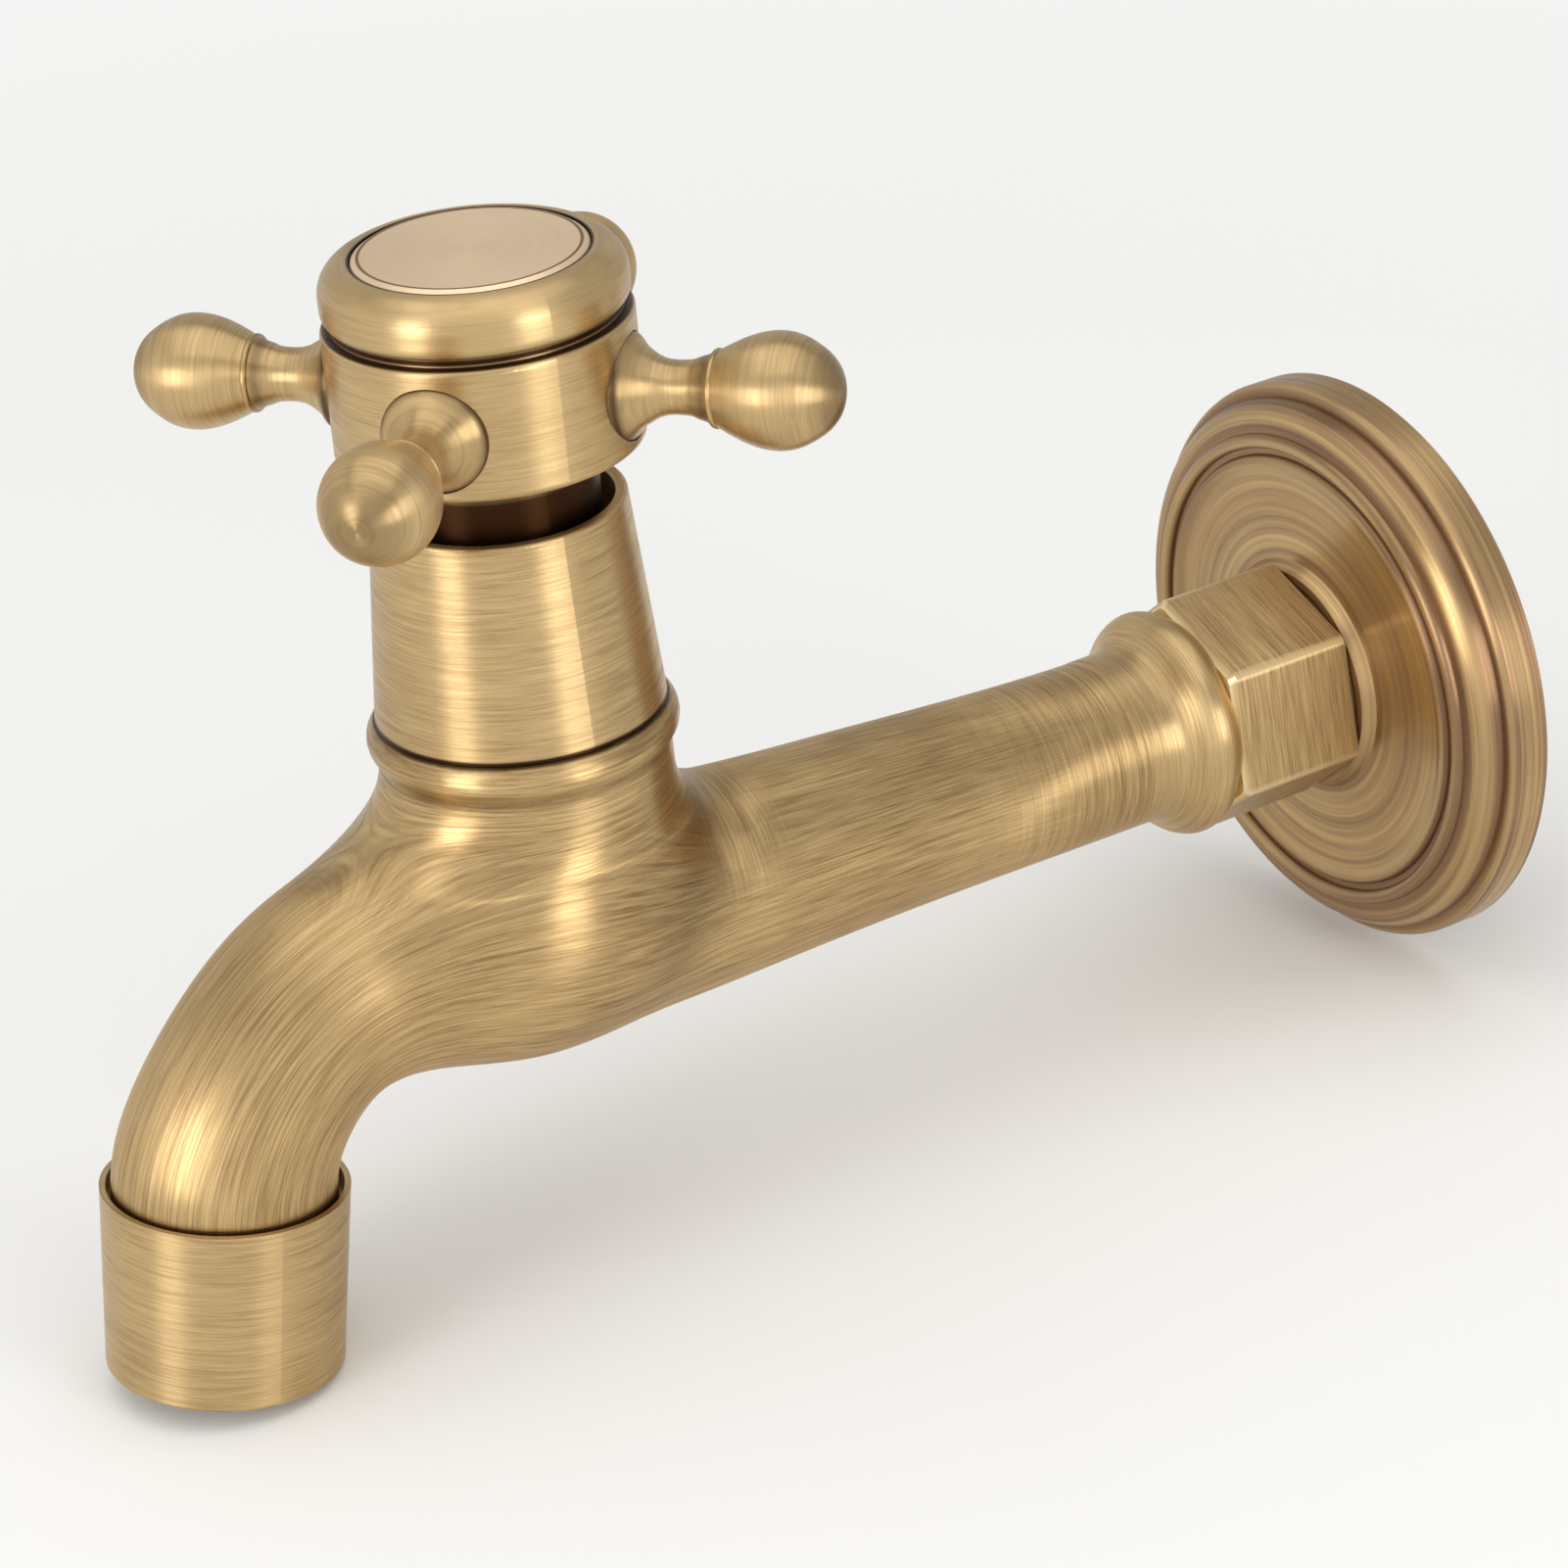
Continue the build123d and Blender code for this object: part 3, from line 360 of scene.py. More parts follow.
class Casting:
    """Signed distances, in millimetres, to the arm, spout, chamber and bead."""

    def __init__(self, sizes):
        self.sizes = sizes
        line = smooth_through(ARM_LINE, 640)
        self.centre = np.stack((-line[:, 0], line[:, 1]), axis=1)
        self.girth = line[:, 2]
        steps = np.linalg.norm(np.diff(self.centre, axis=0), axis=1)
        self.along = np.concatenate(([0.0], np.cumsum(steps)))
        self.tangent = np.gradient(self.centre, self.along, axis=0)
        self.tangent /= np.linalg.norm(self.tangent, axis=1)[:, None]
        self.slope = np.gradient(self.girth, self.along)
        self.bead_height = COVER_FOOT - 0.35 - sizes.bead_height / 2

    def on_line(self, flat):
        """Offset from the centre line, place along it and radius there, for points (y, z)."""
        offset = np.empty(len(flat))
        place = np.empty(len(flat))
        radius = np.empty(len(flat))
        for start in range(0, len(flat), 6000):
            part = flat[start : start + 6000]
            gaps = part[:, None, :] - self.centre[None, :, :]
            near = np.argmin((gaps**2).sum(axis=2), axis=1)
            gap = part - self.centre[near]
            ahead = (gap * self.tangent[near]).sum(axis=1)
            normal = np.stack((-self.tangent[near][:, 1], self.tangent[near][:, 0]), axis=1)
            offset[start : start + 6000] = (gap * normal).sum(axis=1)
            place[start : start + 6000] = self.along[near] + ahead
            radius[start : start + 6000] = self.girth[near] + self.slope[near] * ahead
        return offset, place, radius

    def arm(self, points, line=None):
        offset, _, radius = line if line else self.on_line(points[:, 1:])
        return np.hypot(points[:, 0], offset) - radius

    def chamber(self, points):
        sizes = self.sizes
        out = np.hypot(points[:, 0], points[:, 1] - VALVE.y)
        knee = sizes.chamber_belly - 4.0
        wall = out - sizes.chamber_r
        down = np.minimum(points[:, 2] - knee, 0)
        share = np.hypot(out / sizes.chamber_r, down / sizes.chamber_belly)
        pull = np.hypot(out / sizes.chamber_r**2, down / sizes.chamber_belly**2)
        foot = share * (share - 1) / np.maximum(pull, 1e-9)
        return np.where(points[:, 2] > knee, wall, foot)

    def distance(self, points, line=None):
        sizes = self.sizes
        forward = ease(-9.0, 9.0, VALVE.y - points[:, 1])
        softness = sizes.blend_back + (sizes.blend_front - sizes.blend_back) * forward
        softness += (sizes.blend_neck - softness) * ease(12.0, 21.0, points[:, 2])
        skin = soft_union(self.arm(points, line), self.chamber(points), softness)
        out = np.hypot(points[:, 0], points[:, 1] - VALVE.y)
        section = (sizes.bead_height**2 / 4 + (sizes.bead_r - sizes.chamber_r) ** 2) / (
            2 * (sizes.bead_r - sizes.chamber_r)
        )
        bead = np.hypot(out - sizes.bead_r + section, points[:, 2] - self.bead_height) - section
        skin = soft_union(skin, bead, 0.5)
        skin = np.maximum(skin, points[:, 2] - COVER_FOOT + 0.05)
        skin = np.maximum(skin, points[:, 1] + ARM_START)
        lean = radians(OUTLET_LEAN)
        down = (points[:, 2] * cos(lean)) + (points[:, 1] + ARM_LINE[-3][0]) * sin(lean)
        return np.maximum(skin, -OUTLET_CUT - down)


def surface_grid(casting, step):
    """Quads round the zero surface of the casting's field, one corner in each crossed cell."""
    lowest = np.array((-17.0, -150.0, -22.0))
    highest = np.array((17.0, -30.0, 28.0))
    counts = np.ceil((highest - lowest) / step).astype(int) + 1
    ticks = [lowest[axis] + step * np.arange(counts[axis]) for axis in range(3)]
    flat = np.stack(np.meshgrid(ticks[1], ticks[2], indexing="ij"), axis=-1).reshape(-1, 2)
    offset, place, radius = casting.on_line(flat)
    field = np.empty(counts)
    for column, x in enumerate(ticks[0]):
        points = np.column_stack((np.full(len(flat), x), flat))
        field[column] = casting.distance(points, (offset, place, radius)).reshape(counts[1:])
    inside = field < 0
    sums = np.zeros((*(counts - 1), 3))
    crossings = np.zeros(counts - 1)
    corners = [(a, b, c) for a in (0, 1) for b in (0, 1) for c in (0, 1)]

    def corner(array, shift):
        return array[tuple(slice(shift[a], counts[a] - 1 + shift[a]) for a in range(3))]

    for first in corners:
        for axis in range(3):
            if first[axis]:
                continue
            second = tuple(1 if a == axis else first[a] for a in range(3))
            changed = corner(inside, first) != corner(inside, second)
            start, end = corner(field, first), corner(field, second)
            share = np.where(changed, start / np.where(changed, start - end, 1), 0)
            crossings += changed
            for a in range(3):
                sums[..., a] += changed * (first[a] + (share if a == axis else 0))
    crossed = crossings > 0
    number = np.full(crossed.shape, -1)
    number[crossed] = np.arange(crossed.sum())
    cells = np.argwhere(crossed)
    points = lowest + (cells + sums[crossed] / crossings[crossed][:, None]) * step
    quads = []
    for axis in range(3):
        others = [a for a in range(3) if a != axis]
        before = np.take(inside, np.arange(counts[axis] - 1), axis=axis)
        after = np.take(inside, np.arange(1, counts[axis]), axis=axis)
        for edge in np.argwhere(before != after):
            around = []
            for shift in ((0, 0), (-1, 0), (-1, -1), (0, -1)):
                cell = edge.copy()
                cell[others[0]] += shift[0]
                cell[others[1]] += shift[1]
                around.append(number[tuple(cell)])
            quads.append(around)
    return points, quads


def settle_on_surface(casting, points, rounds=5):
    """Move points onto the zero surface along its slope."""
    nudge = 0.02
    for _ in range(rounds):
        value = casting.distance(points)
        slope = np.empty_like(points)
        for axis in range(3):
            moved = points.copy()
            moved[:, axis] += nudge
            slope[:, axis] = (casting.distance(moved) - value) / nudge
        slope /= np.maximum((slope**2).sum(axis=1), 0.25)[:, None]
        points = points - slope * value[:, None]
    return points


def casting_layers(casting, points, settings):
    """Brush lines of the casting, counted in line widths and lengths, their run, and the patina with painted
    shade at the chamber's root.
    """
    line = casting.on_line(points[:, 1:])
    offset, place, _ = line
    width, length = settings.line_width, settings.line_length
    girth = np.maximum(np.hypot(points[:, 0], offset), 1.0) / 11.0
    along = np.column_stack((points[:, 0] / girth / width, offset / girth / width, place / length))
    beside = points[:, 1] - VALVE.y
    out = np.hypot(points[:, 0], beside)
    round_arm = np.column_stack((points[:, 0] / length, points[:, 2] / length, place / width))
    round_neck = np.column_stack(
        (points[:, 0] / length, beside / length, (points[:, 2] + 0.6 * out) / width)
    )
    reach = -points[:, 1]
    near_root = ease(74.0, 80.0, reach) * ease(88.0, 82.0, reach) * ease(2.0, 8.0, points[:, 2])
    near_collar = np.maximum(ease(58.0, 36.0, reach), near_root)
    near_neck = ease(9.0, 18.0, points[:, 2]) * ease(30.0, 18.0, out)
    turning = np.where((near_neck > near_root)[:, None], round_neck, round_arm)
    share = np.maximum(near_collar, near_neck)
    nearest = np.clip(np.searchsorted(casting.along, place), 0, len(casting.along) - 1)
    forward = np.column_stack((np.zeros(len(points)), casting.tangent[nearest]))
    round_run = np.column_stack((-beside, points[:, 0], np.zeros(len(points))))
    round_run /= np.maximum(out, 1.0)[:, None]
    girdle = np.column_stack((offset, np.zeros(len(points)), -points[:, 0]))
    girdle /= np.maximum(np.linalg.norm(girdle, axis=1), 1.0)[:, None]
    side = np.where((near_neck > near_root)[:, None], round_run, girdle)
    run = forward + (side - forward) * share[:, None]
    run /= np.maximum(np.linalg.norm(run, axis=1), 0.01)[:, None]
    # Darker where the chamber meets the arm, patina in part and painted shade of the root in part, and in a
    # thin line just under the bead
    gap = np.abs(casting.arm(points, line) - casting.chamber(points))
    root = np.exp(-((gap / 3.0) ** 2)) * ease(0.0, 10.0, beside)
    under_bead = np.exp(-(((points[:, 2] - casting.bead_height + 2.0) / 0.5) ** 2)) * ease(20.0, 15.0, out)
    patina = np.clip(0.4 * root + 0.35 * under_bead, 0, 1)
    return {"along": along, "around": turning, "run": run, "share": share, "patina": patina}


# Materials

# How much of the noise's fine detail is kept
NOISE_ROUGHNESS = 0.62
# Soft patches of tarnish about 17 mm across
CLOUDS_PER_METRE = 60.0


def add(tree, kind, inputs=(), out=0, **settings):
    """Add a node with its settings, set or link its inputs, and give one of its outputs.

    Inputs come in order, or by name or number. With out=None all outputs are given."""
    node = tree.nodes.new(kind)
    for name, value in settings.items():
        setattr(node, name, value)
    chosen = inputs if isinstance(inputs, dict) else dict(enumerate(inputs))
    for name, value in chosen.items():
        if isinstance(value, bpy.types.NodeSocket):
            tree.links.new(value, node.inputs[name])
        else:
            node.inputs[name].default_value = value
    return node.outputs[out] if node.outputs and out is not None else node.outputs


def new_material(name):
    """An empty node material and its tree."""
    material = bpy.data.materials.new(name)
    material.use_nodes = True
    material.node_tree.nodes.clear()
    return material, material.node_tree


def colour(rgb):
    """A node colour without transparency."""
    return (*rgb, 1.0)


def brush(tree, vector):
    """Fine brush lines over broader ones, which give a fifth of the height."""
    inputs = {"Vector": vector, "Scale": 1.0, "Detail": 3.0, "Roughness": NOISE_ROUGHNESS}
    fine_lines = add(tree, "ShaderNodeTexNoise", inputs, "Fac")
    inputs.update({"Scale": 0.27, "Detail": 1.0})
    broad_lines = add(tree, "ShaderNodeTexNoise", inputs, "Fac")
    weighed = add(tree, "ShaderNodeMath", (fine_lines, 0.8), operation="MULTIPLY")
    return add(tree, "ShaderNodeMath", (broad_lines, 0.2, weighed), operation="MULTIPLY_ADD")


def band(tree, value, place, near, far, inside, outside):
    """One strength at a place and another away from it, blended between two distances."""
    gap = add(tree, "ShaderNodeMath", (value, place), operation="SUBTRACT")
    away = add(tree, "ShaderNodeMath", (gap,), operation="ABSOLUTE")
    return add(tree, "ShaderNodeMapRange", (away, near, far, inside, outside))


def run_about(tree, axis, place):
    """Direction of the lines that turn about an axis, for the shader's tangent."""
    run = add(tree, "ShaderNodeVectorMath", (axis, place), operation="CROSS_PRODUCT")
    spaces = {"vector_type": "VECTOR", "convert_from": "OBJECT", "convert_to": "WORLD"}
    return add(tree, "ShaderNodeVectorTransform", (run,), **spaces)


def turning(tree, origin, tilt):
    """Place about a turning axis laid along Z, in millimetres, the radius, and the run of the lines."""
    place = add(tree, "ShaderNodeTexCoord", out="Object")
    shifted = add(tree, "ShaderNodeVectorMath", (place, Vector(origin) * MM), operation="SUBTRACT")
    inputs = {"Vector": shifted, "Rotation": Euler(tilt), "Scale": (1 / MM,) * 3}
    local = add(tree, "ShaderNodeMapping", inputs, vector_type="POINT")
    flat = add(tree, "ShaderNodeVectorMath", (local, (1, 1, 0)), operation="MULTIPLY")
    out = add(tree, "ShaderNodeVectorMath", (flat,), "Value", operation="LENGTH")
    axis = Matrix.Rotation(-tilt[0], 3, "X") @ Vector((0, 0, 1))
    return local, out, run_about(tree, axis, shifted)


def turned_pattern(tree, local, out, look, slant):
    """Lines that run round the axis: slow round it, quick along the profile."""
    parts = add(tree, "ShaderNodeSeparateXYZ", (local,), None)
    profile = add(tree, "ShaderNodeMath", (out, slant, parts["Z"]), operation="MULTIPLY_ADD")
    joined = add(tree, "ShaderNodeCombineXYZ", (parts["X"], parts["Y"], profile))
    per_mm = (1 / look.length, 1 / look.length, 1 / look.width)
    return add(tree, "ShaderNodeVectorMath", (joined, per_mm), operation="MULTIPLY")


def brass_shader(tree, lines, run, look, patina=None):
    """Brushed metal: brush lines give colour, roughness and relief; patina and painted shade darken."""
    place = add(tree, "ShaderNodeTexCoord", out="Object")
    inputs = {"Vector": place, "Scale": CLOUDS_PER_METRE, "Detail": 2.0, "Roughness": NOISE_ROUGHNESS}
    clouds = add(tree, "ShaderNodeTexNoise", inputs, "Fac")
    clouds = add(tree, "ShaderNodeMapRange", (clouds, 0.35, 0.7, 0.0, 0.16))
    scored = add(tree, "ShaderNodeMapRange", (lines, 0.36, 0.66, 0.0, look.strength))
    covers = [(add(tree, "ShaderNodeMath", (clouds, scored), operation="ADD"), look.dark)]
    if look.worn:
        worn = add(tree, "ShaderNodeAttribute", out="Fac", attribute_name=look.worn)
        covers.append((worn, look.rubbed))
    # The patina mask also carries painted shade in some joints and hollows
    if patina is not None:
        covers.append((patina, look.soot))
    tint = colour(look.bright)
    for share, cover in covers:
        inputs = {0: share, 6: tint, 7: colour(cover)}
        tint = add(tree, "ShaderNodeMix", inputs, 2, data_type="RGBA")
    spread = (lines, 0.3, 0.7, look.roughness - 0.04, look.roughness + 0.06)
    inputs = {
        "Base Color": tint,
        "Metallic": 1.0,
        "Roughness": add(tree, "ShaderNodeMapRange", spread),
        "Normal": add(tree, "ShaderNodeBump", {"Distance": look.relief * MM, "Height": lines}),
        "Anisotropic": look.stretch,
        "Anisotropic Rotation": 0.25,
        "Tangent": run,
    }
    shader = add(tree, "ShaderNodeBsdfPrincipled", inputs)
    add(tree, "ShaderNodeOutputMaterial", (shader,))


def brass_look(settings, **changes):
    """The finish of the brass, with changes for one piece."""
    look = {
        "bright": settings.brass,
        "dark": settings.patina,
        "soot": settings.soot,
        "stain": 1.0,
        "worn": "",
        "rubbed": linear("#F0D9A8"),
        "strength": 0.42,
        "roughness": 0.36,
        "relief": 0.02,
        "stretch": 0.8,
        "width": settings.line_width,
        "length": settings.line_length,
    }
    return SimpleNamespace(**{**look, **changes})


def brushed_cast_brass(settings):
    """Sand-cast brass, belt-brushed and darkened: lines sweep along the arm and round the neck.

    The eye sees long pale and brown streaks, and highlights drawn out across them."""
    material, tree = new_material("brushed_cast_brass")
    layers = {}
    for name in ("along", "around", "run", "share", "patina"):
        kind = "Fac" if name in ("share", "patina") else "Vector"
        layers[name] = add(tree, "ShaderNodeAttribute", out=kind, attribute_name=name)
    swept, wound = (brush(tree, layers[name]) for name in ("along", "around"))
    lines = add(tree, "ShaderNodeMix", {0: layers["share"], 2: swept, 3: wound})
    look = brass_look(settings, relief=0.03, strength=0.62, bright=linear("#D4B682"))
    place = add(tree, "ShaderNodeTexCoord", out="Object")
    height = add(tree, "ShaderNodeSeparateXYZ", (place,), "Z")
    joint = band(tree, height, (COVER_FOOT - 0.1) * MM, 0.15 * MM, 0.4 * MM, 0.9, 0.0)
    # The patina attribute holds patina, and painted shade at the chamber's root; the band at the cover's foot
    # is the dark joint line
    patina = add(tree, "ShaderNodeMath", (layers["patina"], joint), operation="MAXIMUM")
    brass_shader(tree, lines, layers["run"], look, patina)
    return material


def turned_brass(name, settings, origin, tilt=(0, 0, 0), shade_and_stain_bands=(), slant=0.6, **changes):
    """Lathe-turned brass, brushed on the lathe: fine lines round its axis, dark bands in its joints, stains
    in some and painted shade in others.

    The eye sees faint rings, and a soft bright streak that runs across them.
    Each dark band is a measure, along the axis ("Z") or from it ("R"), its place and its half width."""
    material, tree = new_material(name)
    local, out, run = turning(tree, origin, tilt)
    look = brass_look(settings, **changes)
    pattern = turned_pattern(tree, local, out, look, slant)
    patina = None
    for measure, place, half in shade_and_stain_bands:
        value = out if measure == "R" else add(tree, "ShaderNodeSeparateXYZ", (local,), "Z")
        stain = band(tree, value, place, 0.5 * half, half, look.stain, 0.0)
        if patina is not None:
            stain = add(tree, "ShaderNodeMath", (patina, stain), operation="MAXIMUM")
        patina = stain
    brass_shader(tree, brush(tree, pattern), run, look, patina)
    return material


def plain_material(name, rgb, metallic, roughness, grain=0.3, relief=0.004):
    """Moulded, lapped or pressed stock with a fine even grain, its size in millimetres."""
    material, tree = new_material(name)
    place = add(tree, "ShaderNodeTexCoord", out="Object")
    inputs = {"Vector": place, "Scale": 1 / (grain * MM), "Detail": 2.0, "Roughness": NOISE_ROUGHNESS}
    grains = add(tree, "ShaderNodeTexNoise", inputs, "Fac")
    darker = tuple(0.8 * part for part in rgb)
    inputs = {0: grains, 6: colour(rgb), 7: colour(darker)}
    tint = add(tree, "ShaderNodeMix", inputs, 2, data_type="RGBA")
    bump = add(tree, "ShaderNodeBump", {"Distance": relief * MM, "Height": grains})
    inputs = {"Base Color": tint, "Metallic": metallic, "Roughness": roughness, "Normal": bump}
    shader = add(tree, "ShaderNodeBsdfPrincipled", inputs)
    add(tree, "ShaderNodeOutputMaterial", (shader,))
    return material


# Tilts that lay an axis of the tap along Z for the turning lines
ALONG_WALL_AXIS = (radians(90), 0, 0)
ALONG_OUTLET = (radians(OUTLET_LEAN), 0, 0)


# Operators


class TAP_OT_casting(bpy.types.Operator):
    """Arm, spout, chamber and bead as one soft casting"""

    bl_idname = "tap.casting"
    bl_label = "Casting"

    def execute(self, context):
        sizes = shape()
        casting = Casting(sizes)
        points, quads = surface_grid(casting, sizes.casting_step)
        points = settle_on_surface(casting, points)
        layers = casting_layers(casting, points, finish())
        material = brushed_cast_brass(finish())
        make_piece("arm_and_spout", points, quads, material, "body", ["tap_body"], layers, 60.0)
        return {"FINISHED"}


class TAP_OT_inlet(bpy.types.Operator):
    """Collar, hexagon and threaded shank at the wall"""

    bl_idname = "tap.inlet"
    bl_label = "Inlet"

    def execute(self, context):
        sizes = shape()
        settings = finish()
        wall = Vector((0, 0, 0))
        outward = Vector((0, -1, 0))
        right = Vector((1, 0, 0))
        brass = turned_brass("turned_brass_collar", settings, wall, ALONG_WALL_AXIS)
        hex_end = HEX_START + sizes.hex_length
        arm_r = ARM_LINE[0][2]
        collar = sizes.collar_r
        flat = sizes.hex_flats / 2
        shoulder = smooth_through(
            [
                (flat - 0.35, hex_end - 0.45),
                (flat + 0.3, hex_end + 0.35),
                (collar, hex_end + 1.6),
                (collar - 0.45, hex_end + 3.2),
                (collar - 1.55, hex_end + 4.45),
                (arm_r + 0.35, hex_end + 5.6),
                (arm_r + 0.04, hex_end + 7.2),
                (arm_r, hex_end + 9.0),
            ],
            40,
        )
        outline = [
            (0.0, hex_end - 0.45),
            *shoulder,
            (arm_r, hex_end + 9.8),
            (0.0, hex_end + 9.8),
        ]
        points, faces = turned(outline, wall, outward, right)
        make_piece("inlet_collar", points, faces, brass, "body", ["tap_body"])

        *hexagon, worn = hexagon_points(sizes, hex_end)
        # A dark band at the hexagon's wall end is the painted shadow of its gap to the wall plate
        joints = [("Z", HEX_START, 0.5)]
        changes = {"slant": 0.0, "strength": 0.6, "worn": "worn"}
        brass = turned_brass("brushed_brass_hexagon", settings, wall, ALONG_WALL_AXIS, joints, **changes)
        layers = {"worn": worn}
        make_piece("inlet_hexagon", *hexagon, brass, "body", ["tap_body"], layers, edge_angle=20.0)

        root = sizes.thread_r - sizes.thread_depth
        end = -SHANK_END
        outline = [
            (sizes.inlet_bore_r, HEX_START + 2.0),
            (sizes.inlet_bore_r, end + 0.6),
            (sizes.inlet_bore_r + 0.6, end),
            (root - 0.6, end),
            (root, end + 0.7),
            (root, -0.2),
            (sizes.thread_r - 0.2, 0.0),
            (sizes.thread_r - 0.2, HEX_START + 2.0),
        ]
        points, faces = turned(outline, wall, outward, right, longest=0.13, sides=144)
        # Bare from the lathe behind the plate: paler, with fainter stains
        brass = turned_brass("bare_turned_brass", settings, wall, ALONG_WALL_AXIS, strength=0.25)
        shank = make_piece("inlet_shank", points, faces, brass, "body", ["tap_body"], edge_angle=24.0)
        cut_thread(shank, sizes, end, brass)
        return {"FINISHED"}


def hexagon_points(sizes, hex_end):
    """Points and faces of a hexagonal bar with rounded edges and chamfered ends, and its wear."""
    corner = sizes.hex_flats / sqrt(3)
    edge = sizes.hex_edge
    outline, wear = [], []
    for side in range(6):
        middle = sizes.hex_turn + radians(60 * side)
        centre = corner - edge / cos(radians(30))
        for step in range(7):
            turn = middle + radians(-30 + 10 * step)
            spot = (centre * sin(middle) + edge * sin(turn), centre * cos(middle) + edge * cos(turn))
            outline.append(spot)
            wear.append(1 - abs(step - 3) / 3)
    bevel = sizes.hex_bevel
    inset = 1 - bevel / (sizes.hex_flats / 2)
    points, faces = [], []
    reaches = [(HEX_START, inset), (HEX_START + bevel, 1.0), (hex_end - bevel, 1.0), (hex_end, inset)]
    for reach, size in reaches:
        points += [(x * size, -reach, z * size) for x, z in outline]
    count = len(outline)
    for ring in range(len(reaches) - 1):
        for side in range(count):
            after = (side + 1) % count
            first, second = ring * count, (ring + 1) * count
            faces.append((first + side, first + after, second + after, second + side))
    faces.append(tuple(range(count)))
    faces.append(tuple(range(len(points) - count, len(points))))
    return points, faces, wear * (len(reaches) - 1) + [1.0] * count


def group(name, sizes):
    """A geometry node tree with named inputs."""
    tree = bpy.data.node_groups.new(name, "GeometryNodeTree")
    tree.interface.new_socket("Geometry", in_out="INPUT", socket_type="NodeSocketGeometry")
    for label, kind in sizes.items():
        tree.interface.new_socket(label, in_out="INPUT", socket_type=kind)
    tree.interface.new_socket("Geometry", in_out="OUTPUT", socket_type="NodeSocketGeometry")
    return tree, add(tree, "NodeGroupInput", out=None)


def close_group(tree, geometry, material):
    """End a tree in real, finished geometry."""
    real = add(tree, "GeometryNodeRealizeInstances", {"Geometry": geometry})
    done = add(tree, "GeometryNodeSetMaterial", {"Geometry": real, "Material": material})
    add(tree, "NodeGroupOutput", {"Geometry": done})


def apply_group(piece, tree, values):
    """Run a tree on a piece with its named inputs, and keep the result as a plain mesh."""
    modifier = piece.modifiers.new(tree.name, "NODES")
    modifier.node_group = tree
    names = {item.name: item.identifier for item in tree.interface.items_tree if item.in_out == "INPUT"}
    for label, value in values.items():
        modifier[names[label]] = value
    seen = piece.evaluated_get(bpy.context.evaluated_depsgraph_get())
    mesh = bpy.data.meshes.new_from_object(seen)
    piece.modifiers.clear()
    old = piece.data
    piece.data = mesh
    name = old.name
    bpy.data.meshes.remove(old)
    mesh.name = name


def cut_thread(shank, sizes, end, material):
    """Raise a helical thread on the shank's outer wall with geometry nodes."""
    values = {
        "Pitch": sizes.thread_pitch * MM,
        "Root radius": (sizes.thread_r - sizes.thread_depth) * MM,
        "Depth": sizes.thread_depth * MM,
        "Start": 0.15 * MM,
        "End": -end * MM,
    }
    tree, given = group("helical_thread", dict.fromkeys(values, "NodeSocketFloat"))
    place = add(tree, "GeometryNodeInputPosition")
    parts = add(tree, "ShaderNodeSeparateXYZ", (place,), None)
    flat = add(tree, "ShaderNodeVectorMath", (place, (1, 0, 1)), operation="MULTIPLY")
    out = add(tree, "ShaderNodeVectorMath", (flat,), "Value", operation="LENGTH")
    angle = add(tree, "ShaderNodeMath", (parts["Z"], parts["X"]), operation="ARCTAN2")
    turns = add(tree, "ShaderNodeMath", (angle, 2 * pi), operation="DIVIDE")
    phase = add(tree, "ShaderNodeMath", (parts["Y"], given["Pitch"]), operation="DIVIDE")
    for operation, value in (("ADD", turns), ("ADD", 8.0), ("PINGPONG", 0.5)):
        phase = add(tree, "ShaderNodeMath", (phase, value), operation=operation)
    ridge = add(tree, "ShaderNodeMapRange", (phase, 0.05, 0.39))
    left = add(tree, "ShaderNodeMath", (given["End"], parts["Y"]), operation="SUBTRACT")
    starts = add(tree, "ShaderNodeMapRange", (left, 0.0, 1.2 * MM))
    factor = ridge
    steps = (("MULTIPLY", starts), ("MULTIPLY", given["Depth"]), ("DIVIDE", out), ("ADD", 1.0))
    for operation, value in steps:
        factor = add(tree, "ShaderNodeMath", (factor, value), operation=operation)
    spread = add(tree, "ShaderNodeCombineXYZ", (factor, 1.0, factor))
    moved = add(tree, "ShaderNodeVectorMath", (place, spread), operation="MULTIPLY")
    floor = add(tree, "ShaderNodeMath", (given["Root radius"], 0.2 * MM), operation="SUBTRACT")
    outer = add(tree, "ShaderNodeMath", (out, floor), operation="GREATER_THAN")
    behind = add(tree, "ShaderNodeMath", (parts["Y"], given["Start"]), operation="GREATER_THAN")
    threaded = add(tree, "ShaderNodeMath", (outer, behind), operation="MULTIPLY")
    inputs = {"Geometry": given["Geometry"], "Selection": threaded, "Position": moved}
    close_group(tree, add(tree, "GeometryNodeSetPosition", inputs), material)
    apply_group(shank, tree, values)


